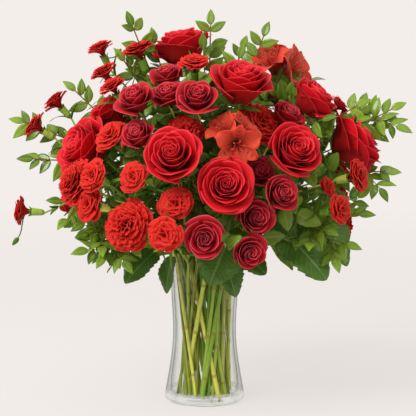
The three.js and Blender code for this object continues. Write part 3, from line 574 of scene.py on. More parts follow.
# %% A socket with Python's operators
class Value:
    """A number that varies over a surface; arithmetic on it adds Math nodes."""

    def __init__(self, finish, socket):
        self.finish, self.socket = finish, socket

    def math(self, operation, one, other=0.0, clamp=False):
        """The number that a Math node makes of two others."""
        settings = dict(operation=operation, use_clamp=clamp)
        return Value(self.finish, self.finish.node("Math", settings, {0: one, 1: other}))

    def __abs__(self):
        return self.math("ABSOLUTE", self)

    def sine(self):
        """The sine, which a stripe or a vein is made from."""
        return self.math("SINE", self)

    def clamped(self):
        """The number, held between 0 and 1."""
        return self.math("ADD", self, clamp=True)

    def above(self, low, high):
        """0 below low, 1 above high, and a straight slope between them."""
        return ((self - low) * (1 / (high - low))).clamped()


# Each operator both ways round, because a plain number may stand before a Value
OPERATORS = dict(add="ADD", sub="SUBTRACT", mul="MULTIPLY", pow="POWER")
for name, operation in OPERATORS.items():
    setattr(Value, f"__{name}__", lambda one, two, how=operation: one.math(how, one, two))
    setattr(Value, f"__r{name}__", lambda one, two, how=operation: one.math(how, two, one))
print("operators", *OPERATORS)

# %% A finish that makes its own nodes
class Finish:
    """One material: a Principled shader with fixed numbers, and what varies linked in."""

    def __init__(self, name, **fixed):
        self.material = bpy.data.materials.new(name)
        self.material.use_nodes = True
        self.tree = self.material.node_tree
        self.shader = self.tree.nodes["Principled BSDF"]
        self.wear(**fixed)

    def feed(self, socket, source):
        """Link a source to a socket, or set the socket to a plain number or colour."""
        source = source.socket if isinstance(source, Value) else source
        if isinstance(source, bpy.types.NodeSocket):
            self.tree.links.new(source, socket)
        else:
            socket.default_value = source

    def node(self, kind, settings=None, sockets=None, output=0):
        """Any node: its settings first, then the values or links of its sockets."""
        node = self.tree.nodes.new("ShaderNode" + kind)
        for key, value in (settings or {}).items():
            setattr(node, key, value)
        for key, value in (sockets or {}).items():
            self.feed(node.inputs[key], value)
        return node.outputs[output]

    def wear(self, **sockets):
        """Set or link the shader's own sockets."""
        for name, source in sockets.items():
            self.feed(self.shader.inputs[name.replace("_", " ")], source)
        return self.material

    def attribute(self, name):
        """A number stored on the mesh's points, such as tone or mark."""
        return Value(self, self.node("Attribute", dict(attribute_name=name), output="Fac"))

    def split(self, vector):
        """The three numbers of a vector."""
        first = self.node("SeparateXYZ", sockets={0: vector})
        return [Value(self, socket) for socket in first.node.outputs]

    def across_and_along(self):
        """The two coordinates of the piece's own UV map."""
        return self.split(self.node("UVMap", dict(uv_map="sheet")))[:2]

    def place(self):
        """Object coordinates, in metres."""
        return self.node("TexCoord", output="Object")

    def noise(self, scale, detail=3.0, vector=None):
        """Noise in Object coordinates, in cells a metre, unless a vector is given."""
        vector = self.place() if vector is None else vector
        sockets = {"Vector": vector, "Scale": scale, "Detail": detail}
        return Value(self, self.node("TexNoise", {}, sockets))

    def blend(self, factor, one, other):
        """Colour one at 0 and colour other at 1; either is a socket or an eight-bit colour."""
        one, other = (srgb(*c) if isinstance(c, tuple) else c for c in (one, other))
        return self.node("Mix", dict(data_type="RGBA"), {0: factor, 6: one, 7: other}, output=2)

    def bump(self, height, strength, distance):
        """A Bump node of a height in metres times distance."""
        return self.node("Bump", {}, {"Height": height, "Strength": strength, "Distance": distance})

    def mixed(self, factor, one, other):
        """Shader one at 0 and shader other at 1."""
        return self.node("MixShader", {}, {0: factor, 1: one, 2: other})

    def surface(self, shader):
        """Make a shader what the material shows."""
        self.feed(self.tree.nodes["Material Output"].inputs["Surface"], shader)


def translucent(weight, radius, scale):
    """The numbers of the light that comes through a petal or leaf from behind."""
    return dict(Subsurface_Weight=weight, Subsurface_Radius=radius, Subsurface_Scale=scale)


def srgb(r, g, b):
    """An eight-bit screen colour as the linear colour that a shader takes."""
    def linear(c):
        c = c / 255
        return c / 12.92 if c <= 0.04045 else ((c + 0.055) / 1.055) ** 2.4
    return (linear(r), linear(g), linear(b), 1.0)


print("a mid red is", [round(c, 3) for c in srgb(176, 28, 30)])

# %% [markdown]
# ## Petal finishes
# A rose petal is velvet: fine upright cells catch light at a grazing angle, so it
# has a sheen and almost no mirror gloss. Its colour is painted darker towards the
# base, a painted shade where it is shut in, and its lip is painted lighter, a
# painted highlight where light catches the edge. Fine lines run along it.
# Roses, spray roses and carnations use one recipe with their own three reds.

# %% One recipe for petals
def petal_finish(name, painted_shade, body, lip, rough=0.5):
    """Painted shade at the base, body over the petal, a painted highlight at its lip, mottled by
    noise.
    """
    finish = Finish(name, Sheen_Weight=0.04, Sheen_Roughness=0.4, Sheen_Tint=(1.0, 0.25, 0.25, 1),
                    Specular_IOR_Level=0.2, **translucent(0.1, (1.0, 0.12, 0.08), 0.004))
    across, along = finish.across_and_along()
    tone, cloud = finish.attribute("tone"), finish.noise(90.0)
    vein = (across * 26 + finish.noise(60.0) * 4).sine()
    # Painted shade: the petal darkens towards its base, mixed with random tone, noise and veins
    shade = along.above(0.3, 0.85) * 0.8 + cloud * 0.3 + tone * 0.35 - 0.2 + vein * 0.04
    # Painted highlight: the lip colour at the petal's edge
    rim = along.above(0.93, 1.0) * (0.25 + 0.5 * tone)
    colour = finish.blend(rim.clamped(), finish.blend(shade.clamped(), painted_shade, body), lip)
    height = vein * 0.3 + finish.noise(500.0)
    return finish.wear(Base_Color=colour, Roughness=rough + 0.18 * cloud,
                       Normal=finish.bump(height, 0.25, 0.0004))


# Each red: the painted shade at the base, the body, and the painted highlight of the lip
rose_red = petal_finish("rose_red", (148, 20, 14), (200, 18, 32), (220, 54, 66))
spray_red = petal_finish("spray_rose_red", (102, 12, 12), (172, 18, 32), (214, 84, 98))
carnation_red = petal_finish("carnation_scarlet", (156, 20, 8), (196, 24, 12), (216, 66, 56), 0.55)
print("petal finishes", rose_red.name, spray_red.name, carnation_red.name)

# %% Alstroemeria: orange red with dark dashes on the inner petals
def alstroemeria_finish():
    """As a petal, with dashes where a stretched noise passes a threshold and mark is 1."""
    finish = Finish("alstroemeria_orange", Sheen_Weight=0.05, Specular_IOR_Level=0.25,
                    **translucent(0.12, (1.0, 0.3, 0.1), 0.004))
    across, along = finish.across_and_along()
    tone, mark, cloud = finish.attribute("tone"), finish.attribute("mark"), finish.noise(80.0)
    # Painted shade: darker towards the petal's base, mixed with noise and random tone
    shade = along.above(0.1, 0.75) * 0.7 + cloud * 0.4 + tone * 0.2
    colour = finish.blend(shade.clamped(), (138, 28, 14), (212, 62, 36))
    middle = (1 - abs(across - 0.5) * 3.2).clamped()
    colour = finish.blend((middle * 0.3 * along).clamped(), colour, (206, 84, 46))
    streak = ((across * 70 + cloud * 6).sine() * 0.5 + finish.noise(160.0) - 0.2).above(0.3, 0.8)
    colour = finish.blend(streak * 0.5, colour, (120, 20, 10))
    dash = ((across * 44).sine() * 0.5 + (along * 38 + tone * 9).sine() * 0.5).above(0.2, 0.4)
    dash = dash * mark * along.above(0.3, 0.4) * (1 - along.above(0.8, 0.9)) * middle
    colour = finish.blend(dash.clamped(), colour, (60, 8, 10))
    return finish.wear(Base_Color=colour, Roughness=0.42 + 0.2 * cloud,
                       Normal=finish.bump((across * 60).sine() * 0.3 + cloud, 0.2, 0.0004))


alstroemeria_red = alstroemeria_finish()
print("finish", alstroemeria_red.name)

# %% [markdown]
# ## Leaf and stem finishes
# A leaf is glossy above, where its skin is waxy, and paler and duller below. Side
# veins leave the midrib at a slant, so they are stripes of along - |across|. A
# stem is yellow green with brown nodes, and a leafy twig is reddish brown.

# %% Leaf, underside, stem and twig
def leaf_finish(name, dark, body, light, veins, gloss, coat):
    """Body green mottled by noise and tone, light midrib and side veins pressed in."""
    finish = Finish(name, Specular_IOR_Level=0.14 if coat else 0.0, Coat_Roughness=0.16,
                    Coat_IOR=1.35, **translucent(0.06, (0.4, 1.0, 0.1), 0.003))
    across, along = finish.across_and_along()
    side, cloud = abs(across - 0.5) * 2, finish.noise(70.0)
    shade = finish.attribute("tone") * 0.75 + cloud * 0.7 - 0.2
    colour = finish.blend(shade.clamped(), dark, body)
    slant = (along - side * 0.3) * veins
    stripe = (slant * TAU).sine().above(0.8, 1.0) * (1 - side.above(0.8, 1.0))
    midrib = 1 - side.above(0.02, 0.07)
    colour = finish.blend((stripe * 0.22 + midrib * 0.5).clamped(), colour, light)
    height = 1 - (stripe * 0.35 + midrib).clamped() + finish.noise(300.0) * 0.3
    return finish.wear(Base_Color=colour, Roughness=gloss + 0.2 * cloud,
                       Coat_Weight=finish.noise(38.0, 1.0).above(0.46, 0.56) * coat,
                       Normal=finish.bump(height, 0.4, 0.0006))


glossy_leaf, broad_leaf, collar_leaf, pale_leaf = (leaf_finish(*row) for row in (
    ("glossy_leaf", (62, 92, 18), (124, 152, 44), (170, 190, 96), 7.0, 0.3, 1.0),
    ("broad_leaf", (60, 88, 16), (116, 144, 42), (150, 174, 86), 9.0, 0.34, 0.9),
    ("collar_leaf", (48, 80, 22), (90, 126, 46), (134, 164, 96), 11.0, 0.34, 0.8),
    ("leaf_underside", (66, 94, 22), (118, 146, 56), (146, 166, 84), 8.0, 0.75, 0.0)))


def stem_finish(name, dark, body, leafy, node, gloss, coat):
    """Dark to pale by tone and streaks, some stems leafy green, nodes where mark is 1."""
    finish = Finish(name, Coat_Weight=coat, Coat_Roughness=0.2, Specular_IOR_Level=0.22,
                    **translucent(0.05, (0.6, 1.0, 0.1), 0.003))
    tone, mark = finish.attribute("tone"), finish.attribute("mark")
    stretched = finish.node("Mapping", {}, {0: finish.place(), "Scale": (240, 240, 30)})
    streak = finish.noise(1.0, vector=stretched)
    colour = finish.blend((tone * 1.1 + streak * 0.7 - 0.35).clamped(), dark, body)
    colour = finish.blend(((tone * 19).sine() * 0.5 + 0.3).clamped(), colour, leafy)
    colour = finish.blend((mark * (0.25 + 0.8 * streak)).clamped(), colour, node)
    return finish.wear(Base_Color=colour, Roughness=gloss + 0.2 * streak,
                       Normal=finish.bump(streak, 0.3, 0.0006))


green_stem, red_twig, calyx_green = (stem_finish(*row) for row in (
    ("green_stem", (36, 60, 0), (250, 246, 112), (110, 156, 36), (126, 84, 24), 0.32, 0.2),
    ("red_twig", (92, 96, 20), (158, 164, 50), (96, 124, 30), (104, 44, 24), 0.45, 0.0),
    ("calyx_green", (36, 68, 6), (100, 136, 36), (66, 104, 20), (150, 166, 96), 0.45, 0.0)))
print("greens", *(m.name for m in (glossy_leaf, broad_leaf, pale_leaf, green_stem, red_twig)))

# %% [markdown]
# ## A rose
# A rose is a bud that has opened from the outside in. Each petal is a sheet cut
# from a cup: the inner cups are narrow and wrap round each other, the outer ones
# are wide, lean out and roll their lips back. The golden angle between one petal
# and the next is what makes the spiral in the middle.

# %% Chance for the petals of a head, their grids, and points swung round its axis
def chances(seed, count, *rules):
    """For each rule (factor, step, shift) a number from 0 to 1 for each of count petals."""
    return [draw(seed * factor + np.arange(count) * step + shift)[:, None, None]
            for factor, step, shift in rules]


def spread_out(rows, cols):
    """Shares u from -1 to 1 across a petal and v from 0 to 1 along it, for a stack of grids."""
    v = np.linspace(0, 1, rows) if isinstance(rows, int) else np.array(rows)
    return np.linspace(-1, 1, cols)[None, None], v[None, :, None]


def swung(r, aside, angle, z):
    """Points at a distance r along an angle, then aside of it, at a height z."""
    x = r * np.cos(angle) - aside * np.sin(angle)
    y = r * np.sin(angle) + aside * np.cos(angle)
    return np.stack([x, y, z + 0 * x], -1)


print("chances", [c.ravel().round(2).tolist() for c in chances(1, 3, (31, 5, 1))])

# %% Petals of a rose, large or small
ROSE_STOPS = [0, 0.2, 0.4, 0.6, 0.78, 0.9, 1]      # from the heart to the outermost petal
ROSE_SHAPE = [
    [0.04, 0.12, 0.21, 0.33, 0.48, 0.62, 0.74],    # the cup's radius at its belly
    [0.0, 0.02, 0.05, 0.08, 0.12, 0.14, 0.14],     # how much further its rim flares
    [0.1, 0.2, 0.25, 0.25, 0.2, 0.12, 0.0],        # the height of its rim
    [0.0, 0.0, 0.01, 0.03, 0.08, 0.13, 0.17],      # how far its lip rolls out and down
    [2.4, 1.8, 1.4, 1.25, 1.16, 1.14, 1.12]]       # half the angle that a petal wraps


def rose_petals(count, turn, seed):
    """Petal k: a cup's profile r(v), z(v) as a cubic curve, swept over angles half * u.

    t runs from 0 at the heart to 1 outside. The petal is shorter to its sides, by u to
    the power of 1.7, and its upper part rolls out and down by the square of v. Slow
    sines wave its face and lip, and the lip has a small peak in the middle."""
    k = np.arange(count)[:, None, None]
    t = k / (count - 1)
    u, v = spread_out([0, 0.15, 0.3, 0.45, 0.58, 0.68, 0.76, 0.83, 0.89, 0.95, 1.0], 13)
    luck, other, third = chances(seed, count, (31, 5, 1), (17, 3, 2), (11, 7, 3))
    belly, flare, top, roll, half = (np.interp(t, ROSE_STOPS, row) for row in ROSE_SHAPE)
    belly = belly + 0.06 * (luck - 0.5) * t ** 0.5
    flare = flare + 0.16 * (third - 0.5) * t ** 3
    top = top + 0.07 * (other - 0.5) * (0.3 + t)
    roll = roll * (0.7 + 0.6 * third)
    half = half * (0.88 + 0.24 * other)
    reach = v * (1 - (0.1 + 0.14 * t) * np.abs(u) ** 1.7)
    r = bezier(0.08, 0.12 + 0.78 * belly, belly, belly + flare, reach)
    z = bezier(-1.0, -0.86, -0.3, top, reach)
    lip = np.clip((v - 0.52) / 0.48, 0, 1) ** 2 * (0.7 + 0.6 * u ** 2)
    r = r + roll * lip * 1.05 + 0.05 * u * np.minimum(1, 4 * belly) * (0.3 + 0.7 * v)
    z = z - roll * lip * 1.1
    r = r + 0.028 * np.sin(2.6 * u + TAU * luck) * v ** 2 * t ** 0.5
    r = r + (0.02 + 0.09 * t) * (1 - np.abs(u)) ** 1.3 * v ** 6
    z = z + (0.015 + 0.035 * t) * np.sin(3.4 * u + TAU * other) * v ** 3
    width = 0.5 + 0.5 * np.sin(0.5 * math.pi * np.minimum(v * 1.35, 1))
    angle = turn + k * GOLDEN + 0.5 * (third - 0.5) + half * width * u
    return swung(r, 0, angle, z), 0.25 + 0.75 * luck[:, 0, 0], 0.0


# Heads that fill more than their solid, and heads tipped to an azimuth and elevation of their own
FULLER = {"rose_5": 1.18, "rose_6": 1.12, "rose_7": 1.24, "rose_8": 1.1, "carnation_1": 1.06,
          "carnation_2": 1.12, "carnation_3": 1.08, "carnation_8": 1.15, "alstroemeria_2": 1.2}
TIPPED = {"rose_4": (18, 64), "rose_7": (80, 34)}


def dress(kind, head, material, thickness):
    """Make every node of one kind of bloom: all petals of its heads are one piece."""
    names = list(dict.fromkeys(bloom["node"] for bloom in blooms if bloom["kind"] == kind))
    faces = 0
    for name in names:
        sheets = Sheets()
        for bloom in blooms:
            if bloom["node"] == name:
                radius = bloom["radius"] * FULLER.get(name, 1)
                way = way_of(*TIPPED[name]) if name in TIPPED else bloom["way"]
                rim = bloom["base"] + way * KINDS[kind]["base"] * radius
                seed = bloom["index"] + 1
                for flat, tone, mark in head(bloom, TAU * draw(seed), seed):
                    sheets.add(turned(flat, rim, way, radius), tone, mark)
        faces += settle(sheets.piece(name + "_petals", material, thickness=thickness), name)
    print(kind, "pieces", len(names), "faces", faces)


PETALS = {"rose": 38, "spray_rose": 24}


def rose_head(bloom, turn, seed):
    """One stack of petals, more of them on a large rose than on one of a spray."""
    return [rose_petals(PETALS[bloom["kind"]], turn, seed)]


dress("rose", rose_head, rose_red, 0.35)
dress("spray_rose", rose_head, spray_red, 0.3)

# %% [markdown]
# ## A carnation
# A carnation petal is a narrow claw that opens into a fan with a saw-toothed
# edge. Dozens of them crowd one green calyx, so they buckle into ruffles. The
# ruffle is two sines across the fan that grow towards its edge.

# %% Petals of a carnation
def carnation_petals(count, turn, seed, fan, frill, rise, knee):
    """Petal k: a claw that rises, then a fan that leans out further as t grows.

    The middle line is a square curve over a knee, so that the fan's face shows from
    the front. Waves move points along the fan's normal, and a saw cuts its edge."""
    k = np.arange(count)[:, None, None]
    t = (k / (count - 1)) ** 0.72
    u, v = spread_out([0, 0.35, 0.55, 0.7, 0.82, 0.92, 1.0], 23)
    luck, other = chances(seed, count, (13, 7, 1), (29, 11, 2))
    stops = [0, 0.25, 0.5, 0.75, 1]
    tip_r = np.interp(t, stops, [0.0, 0.34, 0.63, 0.88, 1.04]) + 0.1 * (luck - 0.5)
    tip_z = np.interp(t, stops, [0.46, 0.4, 0.27, 0.05, -0.2]) + 0.12 * (other - 0.5) + rise * t
    knee_r, knee_z = knee * tip_r - 0.02, tip_z + 0.03 - 0.02 * t
    teeth = np.abs((5.5 * u + 3 * luck) % 1 - 0.5) * 2
    reach = v * (1 - 0.12 * u ** 2) - (0.065 - 0.08 * rise) * teeth * v ** 8
    s = 1 - reach
    r = s * s * 0.06 + 2 * s * reach * knee_r + reach ** 2 * tip_r
    z = s * s * -0.5 + 2 * s * reach * knee_z + reach ** 2 * tip_z
    lean = 0.25 + 1.1 * t
    wave = 0.06 * np.sin(3.6 * u + TAU * luck) + frill * np.sin(9 * u + TAU * other)
    wave = wave * v ** 2.5 * (1.15 - 0.3 * t) * (1 - 0.8 * rise)
    r = r + wave * np.cos(lean)
    z = z + wave * np.sin(lean)
    aside = u * (0.03 + fan * v ** 1.6) * (0.85 + 0.3 * other)
    angle = turn + k * GOLDEN
    lobes = np.sin(2 * angle + TAU * draw(seed + 5))
    lobes = lobes + 0.8 * np.sin(3 * angle + TAU * draw(seed + 9))
    r = r * (1 + 0.07 * lobes * t)
    return swung(r, aside, angle, z), 0.2 + 0.8 * luck[:, 0, 0], 0.0


# Petals, half width of the fan, depth of its frill, how far the outer ones rise, and the knee
STANDARD, SMALL = (54, 0.36, 0.04, 0.0, 0.5), (30, 0.48, 0.02, 0.3, 0.2)
STANDARD_OVER = 26    # mm of radius


def carnation_head(bloom, turn, seed):
    """A standard carnation is a round ball, and a small one of a spray an open bowl."""
    count, *recipe = STANDARD if bloom["radius"] > STANDARD_OVER else SMALL
    return [carnation_petals(count, turn, seed, *recipe)]


dress("carnation", carnation_head, carnation_red, 0.3)

# %% [markdown]
# ## Alstroemeria
# Three trumpet florets stand on one head. Each has three broad outer petals and
# three narrow inner ones with dark dashes, and six curved stamens. A floret is
# one petal formula with two widths, repeated round the trumpet.

# %% Florets of an alstroemeria
FLORET = 0.8


def floret_petals(turn, seed):
    """Six petals: a trumpet's cubic profile, a width that swells and ends in a point."""
    k = np.arange(6)[:, None, None]
    inner = (k % 2).astype(float)
    u, v = spread_out(12, 9)
    luck, = chances(seed, 6, (19, 3, 0))
    length = 1.05 - 0.08 * inner + 0.08 * (luck - 0.5)
    r = bezier(0.08, 0.14, 0.5, length, v)
    z = bezier(-0.9, -0.3, 0.02, 0.02 + 0.14 * inner - 0.1 * luck, v)
    swell = np.sin(math.pi * (0.03 + 0.93 * v ** 1.9)) ** 0.8
    half = (0.43 - 0.16 * inner) * swell + 0.03 * (1 - v)
    aside = u * half
    z = z + 0.5 * aside ** 2 / (half + 0.05) + 0.03 * np.sin(5 * v + 4 * u + TAU * luck) * v
    angle = turn + TAU * k / 6
    return swung(r, aside, angle, z), 0.3 + 0.7 * luck[:, 0, 0], inner[:, 0, 0]


STAMEN = np.array([(0.03, -0.8), (0.1, -0.2), (0.2, 0.12), (0.3, 0.16)])  # radius and height


def alstroemeria_head(bloom, *_):
    """Three florets lean apart from one base; stamens are thin tubes in each trumpet."""
    parts = []
    for i in range(3):
        angle = TAU * i / 3 - math.pi / 2
        lean = unit([math.cos(angle), math.sin(angle), 1.0])
        size = FLORET * (1.12 if i == 0 else 0.96)
        rim = np.array([0, 0, -0.85]) + size * lean
        petals, tone, mark = floret_petals(0.5 + 0.4 * i, bloom["index"] + i)
        parts.append((turned(petals, rim, lean, size), tone, mark))
        for k in range(6):
            line = swung(STAMEN[:, 0], 0, TAU * k / 6 + 0.3 + i, STAMEN[:, 1])
            fine, wide = smooth_line(line, [0.018, 0.016, 0.014, 0.03], 4)
            parts.append((turned(tube(fine, wide, 6), rim, lean, size), 0.1, 0.0))
    return parts


dress("alstroemeria", alstroemeria_head, alstroemeria_red, 0.5)

# %% [markdown]
# ## The stems
# A cut stem is thicker at its nodes, where leaves were stripped off, and its foot
# is cut at a slant. Under the bloom it swells into the calyx. A swept circle does
# all of it: the radius rises in a bell curve at each node, and mark says where.

# %% Sweep the stems along their routes
def with_straight(route):
    """Extra points on the straight part, so that the curve doesn't swing there."""
    points, radii = route["points"], route["radii"]
    if not route["foot"]:
        return points, radii
    extra = points[0] + (points[1] - points[0]) * np.array([0, 0.34, 0.67, 0.9])[:, None]
    return np.vstack([extra, points[1:]]), [radii[0]] * 4 + list(radii[1:])


STEM_POINTS, NODE_HEIGHT = 2.4, 2.4    # mm between rings, and half the height of a node
stem_sheets = Sheets()
for number, route in enumerate(routes):
    line, wide = smooth_line(*with_straight(route), per=9)
    s = arc_length(line)
    fine = np.linspace(0, s[-1], int(s[-1] / STEM_POINTS) + 2)
    line = np.stack([np.interp(fine, s, column) for column in line.T], 1)
    wide = np.interp(fine, s, wide)
    nodes = np.arange(14 + 30 * draw(number + 3), fine[-1] - 30, 40 + 30 * draw(number + 9))
    bell = np.exp(-((fine[:, None] - nodes[None]) / NODE_HEIGHT) ** 2).sum(1)
    wide = wide * (1 + 0.22 * bell) * (1 + 0.04 * np.sin(fine / 17 + number))
    route["line"], route["arc"], route["ways"] = line, fine, tangents(line)
    mark = np.pad(np.clip(1.4 * bell - 0.35, 0, 1), 1)
    stem_sheets.add(tube(line, wide, 11, cut=0.8 if route["foot"] else 0),
                    tone=float(draw(number + 21)), mark=mark[None, :, None])
print("stem faces", settle(stem_sheets.piece("cut_stems", green_stem), "flower_stems"))

# %% [markdown]
# ## One formula for every leaf
# A blade is a sheet over its length and width: the outline says how wide it is at
# each share of its length, the midrib folds it, its own weight makes it sag by
# the square of the distance, and a saw wave can cut teeth in its edge.

# %% Blades of any kind, many at once
# Fold along the midrib, sag at the tip, and wave of the edge
BLADES = {"oval": (0.2, 0.2, 0.03), "broad": (0.2, 0.16, 0.08), "narrow": (0.3, 0.55, 0.0)}


def blades(base, way, face, length, width, kind, luck, rows=9, cols=5):
    """Point = base + way * reach + across * side + face * height, for n leaves at once.

    Outlines: oval for a leaflet, broad and toothed with a drawn-out point, and narrow
    like grass. The glossy side looks to the face, so across is the way times the face."""
    way, face = unit(way), np.asarray(face, float)
    face = unit(face - way * (face * way).sum(-1, keepdims=True))
    across = np.cross(way, face)
    u, v = spread_out(rows, cols)
    length, width, luck = (np.broadcast_to(x, len(base))[:, None, None].astype(float)
                           for x in (length, width, luck))
    half = {
        "oval": 0.52 * np.sin(math.pi * v ** 0.82) ** 0.95 * (1 - 0.2 * v ** 2),
        "broad": 0.52 * np.sin(math.pi * v ** 0.72) ** 0.58 * (1 - 0.3 * v ** 3),
        "narrow": 0.5 * np.sin(math.pi * v ** 0.5) ** 0.6,
    }[kind]
    if kind == "broad":
        teeth = (v * (rows - 1) / (5 if rows > 20 else 3)) % 1
        half = half * (1 - 0.15 * teeth * np.minimum(1, 5 * v * (1 - v)))
    fold, sag, wave = BLADES[kind]
    side = u * half * width
    edge = np.abs(u) * np.sin(math.pi * v)
    height = fold * np.abs(side) - sag * (0.6 + 0.8 * luck) * length * v ** 2
    height = height + wave * width * np.sin(7 * v + 5 * luck + 2.5 * u) * edge
    reach = length * (v - 0.12 * v ** 3) - 0.05 * width * edge
    base, way, across, face = (x[:, None, None] for x in (base, way, across, face))
    return base + way * reach[..., None] + across * side[..., None] + face * height[..., None]


# How far back the blooms and the leaves look to the front
LAST_FRONT_BLOOM, LAST_FRONT_LEAF = 60, 70


def clear_of_blooms(base, way, length, share, before=0.8):
    """Whether three places along each leaf are outside all blooms' round spaces.

    A florist also strips what hangs before a bloom, so a leaf nearer to the front than
    a bloom of the front half, and within a share of its radius of it, is left out too.
    The same goes for the back."""
    centre, _, radius = capsules(bloom_space)
    front = np.where(centre[:, 1] < LAST_FRONT_BLOOM, -1.0, 1.0)
    ok = np.ones(len(base), bool)
    for part in (0.3, 0.65, 1.0):
        probe = base + unit(way) * np.reshape(length, (-1, 1)) * part
        away = probe[:, None] - centre[None]
        ok &= (np.linalg.norm(away, axis=-1) > radius * share).all(1)
        aside = np.hypot(away[..., 0], away[..., 2])
        ok &= ~((away[..., 1] * front > 0) & (aside < before * radius)).any(1)
    return ok


leaf = blades(np.zeros((1, 3)), np.eye(3)[:1], UP, 30, 12, "oval", 0.5)
print("a leaf's rows and columns", leaf.shape[1:3])

# %% [markdown]
# ## Leaves on the flower stems
# Between the blooms the photograph shows leaves and deep shade, not bare stems. A
# rose leaf is a thin stalk with three to five leaflets, so each rose stem gets one
# every 2 cm, turned by the golden angle: an end leaflet and pairs below it. A
# leaflet that would run into a bloom is left out. Carnations have grass-like
# leaves in pairs instead.

# %% Places along a stem, and ways square to it
def along_line(line, arc, places):
    """The points and ways of a line at given distances along it."""
    columns = np.hstack([line, tangents(line)]).T
    found = np.stack([np.interp(places, arc, column) for column in columns], 1)
    return found[:, :3], unit(found[:, 3:])


def around(way, angle):
    """A unit vector square to each way, turned round it by an angle."""
    helper = np.where(np.abs(way[:, 2:]) > 0.9, [[1.0, 0, 0]], [[0, 0, 1.0]])
    one = unit(np.cross(way, helper))
    other = np.cross(way, one)
    return one * np.cos(angle)[:, None] + other * np.sin(angle)[:, None]


print("square to up", around(UP[None], np.array([0.0])).round(2))

# %% Leaves up each flower stem
# Share of the leaf's stalk, side and size of each leaflet
LEAFLETS = ((1.0, 0, 1.0), (0.72, -1, 0.86), (0.72, 1, 0.86), (0.36, -1, 0.66), (0.36, 1, 0.66))
LOWEST_LEAF, LOWEST_TIP = NECK_Z + 14, 226      # heights in mm
GRASS_EVERY, ROSE_LEAF_EVERY = 34.0, 19.0       # mm along a stem
stem_leaves, leaf_stalks, narrow_leaves = Sheets(), Sheets(), Sheets()


def grass_leaves(base, way, out, luck):
    """A pair of narrow leaves at each place of a carnation stem."""
    for flip in (-1, 1):
        spread, face = way * 0.75 + flip * out * 0.6, way * 0.4 - flip * out
        leaves = blades(base, spread, face, 30 + 24 * luck, 4.2 + 1.6 * luck, "narrow", luck, 9, 3)
        narrow_leaves.add(leaves, 0.3 + 0.6 * luck)


def rose_leaves(base, way, out, luck):
    """At each place a thin stalk with those of its five leaflets that are clear of blooms."""
    reach = 40 + 26 * luck
    spread = unit(way * 0.62 + out * 0.8 + 0.1 * UP)
    face = unit(way - spread * (way * spread).sum(1, keepdims=True))
    square = np.cross(face, spread)
    kept = np.zeros(len(base))
    for share, flip, size in LEAFLETS:
        foot = base + spread * (reach * share)[:, None] - face * (2.5 * share ** 2)
        leaf_way = unit(spread * (1 - 0.45 * abs(flip)) + square * flip * 0.8)
        length = (29 + 11 * luck) * size
        ok = clear_of_blooms(foot, leaf_way, length, 0.88, 0.95)
        ok &= foot[:, 2] + leaf_way[:, 2] * length > LOWEST_TIP
        if ok.any():
            leaves = blades(foot[ok], leaf_way[ok], face[ok], length[ok], length[ok] * 0.62,
                            "broad", (luck[ok] * 3 + share) % 1, 13, 5)
            stem_leaves.add(leaves, 0.05 + 0.75 * luck[ok])
            kept[ok] = np.maximum(kept[ok], share)
    steps, radii = np.linspace(0, 1, 5)[:, None], np.linspace(0.9, 0.5, 5)
    for point, way_out, long in zip(base[kept > 0], spread[kept > 0], (reach * kept)[kept > 0]):
        leaf_stalks.add(tube(point + way_out * steps * (long + 1), radii, 6), 0.4)


for number, route in enumerate(routes):
    line, arc, bloom = route["line"], route["arc"], route["bloom"]
    low = np.interp(LOWEST_LEAF, line[:, 2], arc) if route["foot"] else 10.0
    high = arc[-1] - 0.45 * bloom["radius"] - 4
    every, grow = ROSE_LEAF_EVERY, rose_leaves
    if bloom["kind"] == "carnation":
        every, grow = GRASS_EVERY, grass_leaves
    places = np.arange(low, high, every)
    if len(places):
        k = np.arange(len(places))
        base, way = along_line(line, arc, places)
        grow(base, way, around(way, k * GOLDEN + number), draw(number * 41 + k * 7 + 5))
print("points of leaves on flower stems", stem_leaves.count, "and", narrow_leaves.count)

# %% Leaves that fill the gaps behind the roses on the right
def growth_point(place, lines, cost, lowest, highest):
    """The point of some stems, and its way, that costs least to grow a stalk from."""
    points, ways = (np.vstack([route[key] for route in lines]) for key in ("line", "ways"))
    fits = (points[:, 2] > lowest) & (points[:, 2] < highest)
    best = np.argmin(np.where(fits, cost(np.linalg.norm(points - place, axis=1)), np.inf))
    return points[best], ways[best]


# Base, way and length of each leaf
FILLERS = [((114, -5, 428), (-0.2, -0.3, 0.9), 36), ((122, -8, 434), (0.25, -0.4, 0.85), 34),
           ((128, -4, 424), (0.7, -0.4, 0.6), 32), ((110, 0, 446), (0.0, -0.2, 1.0), 34),
           ((121, 4, 450), (0.5, -0.1, 0.9), 32), ((104, -4, 436), (-0.5, -0.3, 0.8), 32),
           ((158, -55, 382), (0.1, -0.4, 0.9), 34), ((165, -62, 390), (0.35, -0.5, 0.8), 32),
           ((150, -60, 396), (-0.4, -0.4, 0.8), 32), ((164, -66, 372), (0.2, -0.8, 0.5), 30),
           ((170, -62, 332), (0.3, -0.5, 0.8), 34), ((160, -70, 326), (-0.3, -0.5, 0.8), 32)]
for number, (place, way, length) in enumerate(FILLERS):
    place, way = np.array(place, float), unit(way)
    start, start_way = growth_point(place, routes, lambda gap: gap, 0, place[2] - 12)
    line = bend(start, start_way, place, way, 6)
    leaf_stalks.add(tube(line, np.linspace(0.9, 0.7, len(line)), 6), 0.4)
    stem_leaves.add(blades(place[None], way[None], [[0, -1, 0.6]], length, length * 0.6, "broad",
                           draw(number * 3.0), 13, 5), 0.5)
print("leaves behind the roses", len(FILLERS))

# %% [markdown]
# ## Broad collar leaves
# Round the collar hang broad leathery leaves with toothed edges. Each comes out of
# the neck on a stalk, and its blade hangs outwards and shows its glossy side.

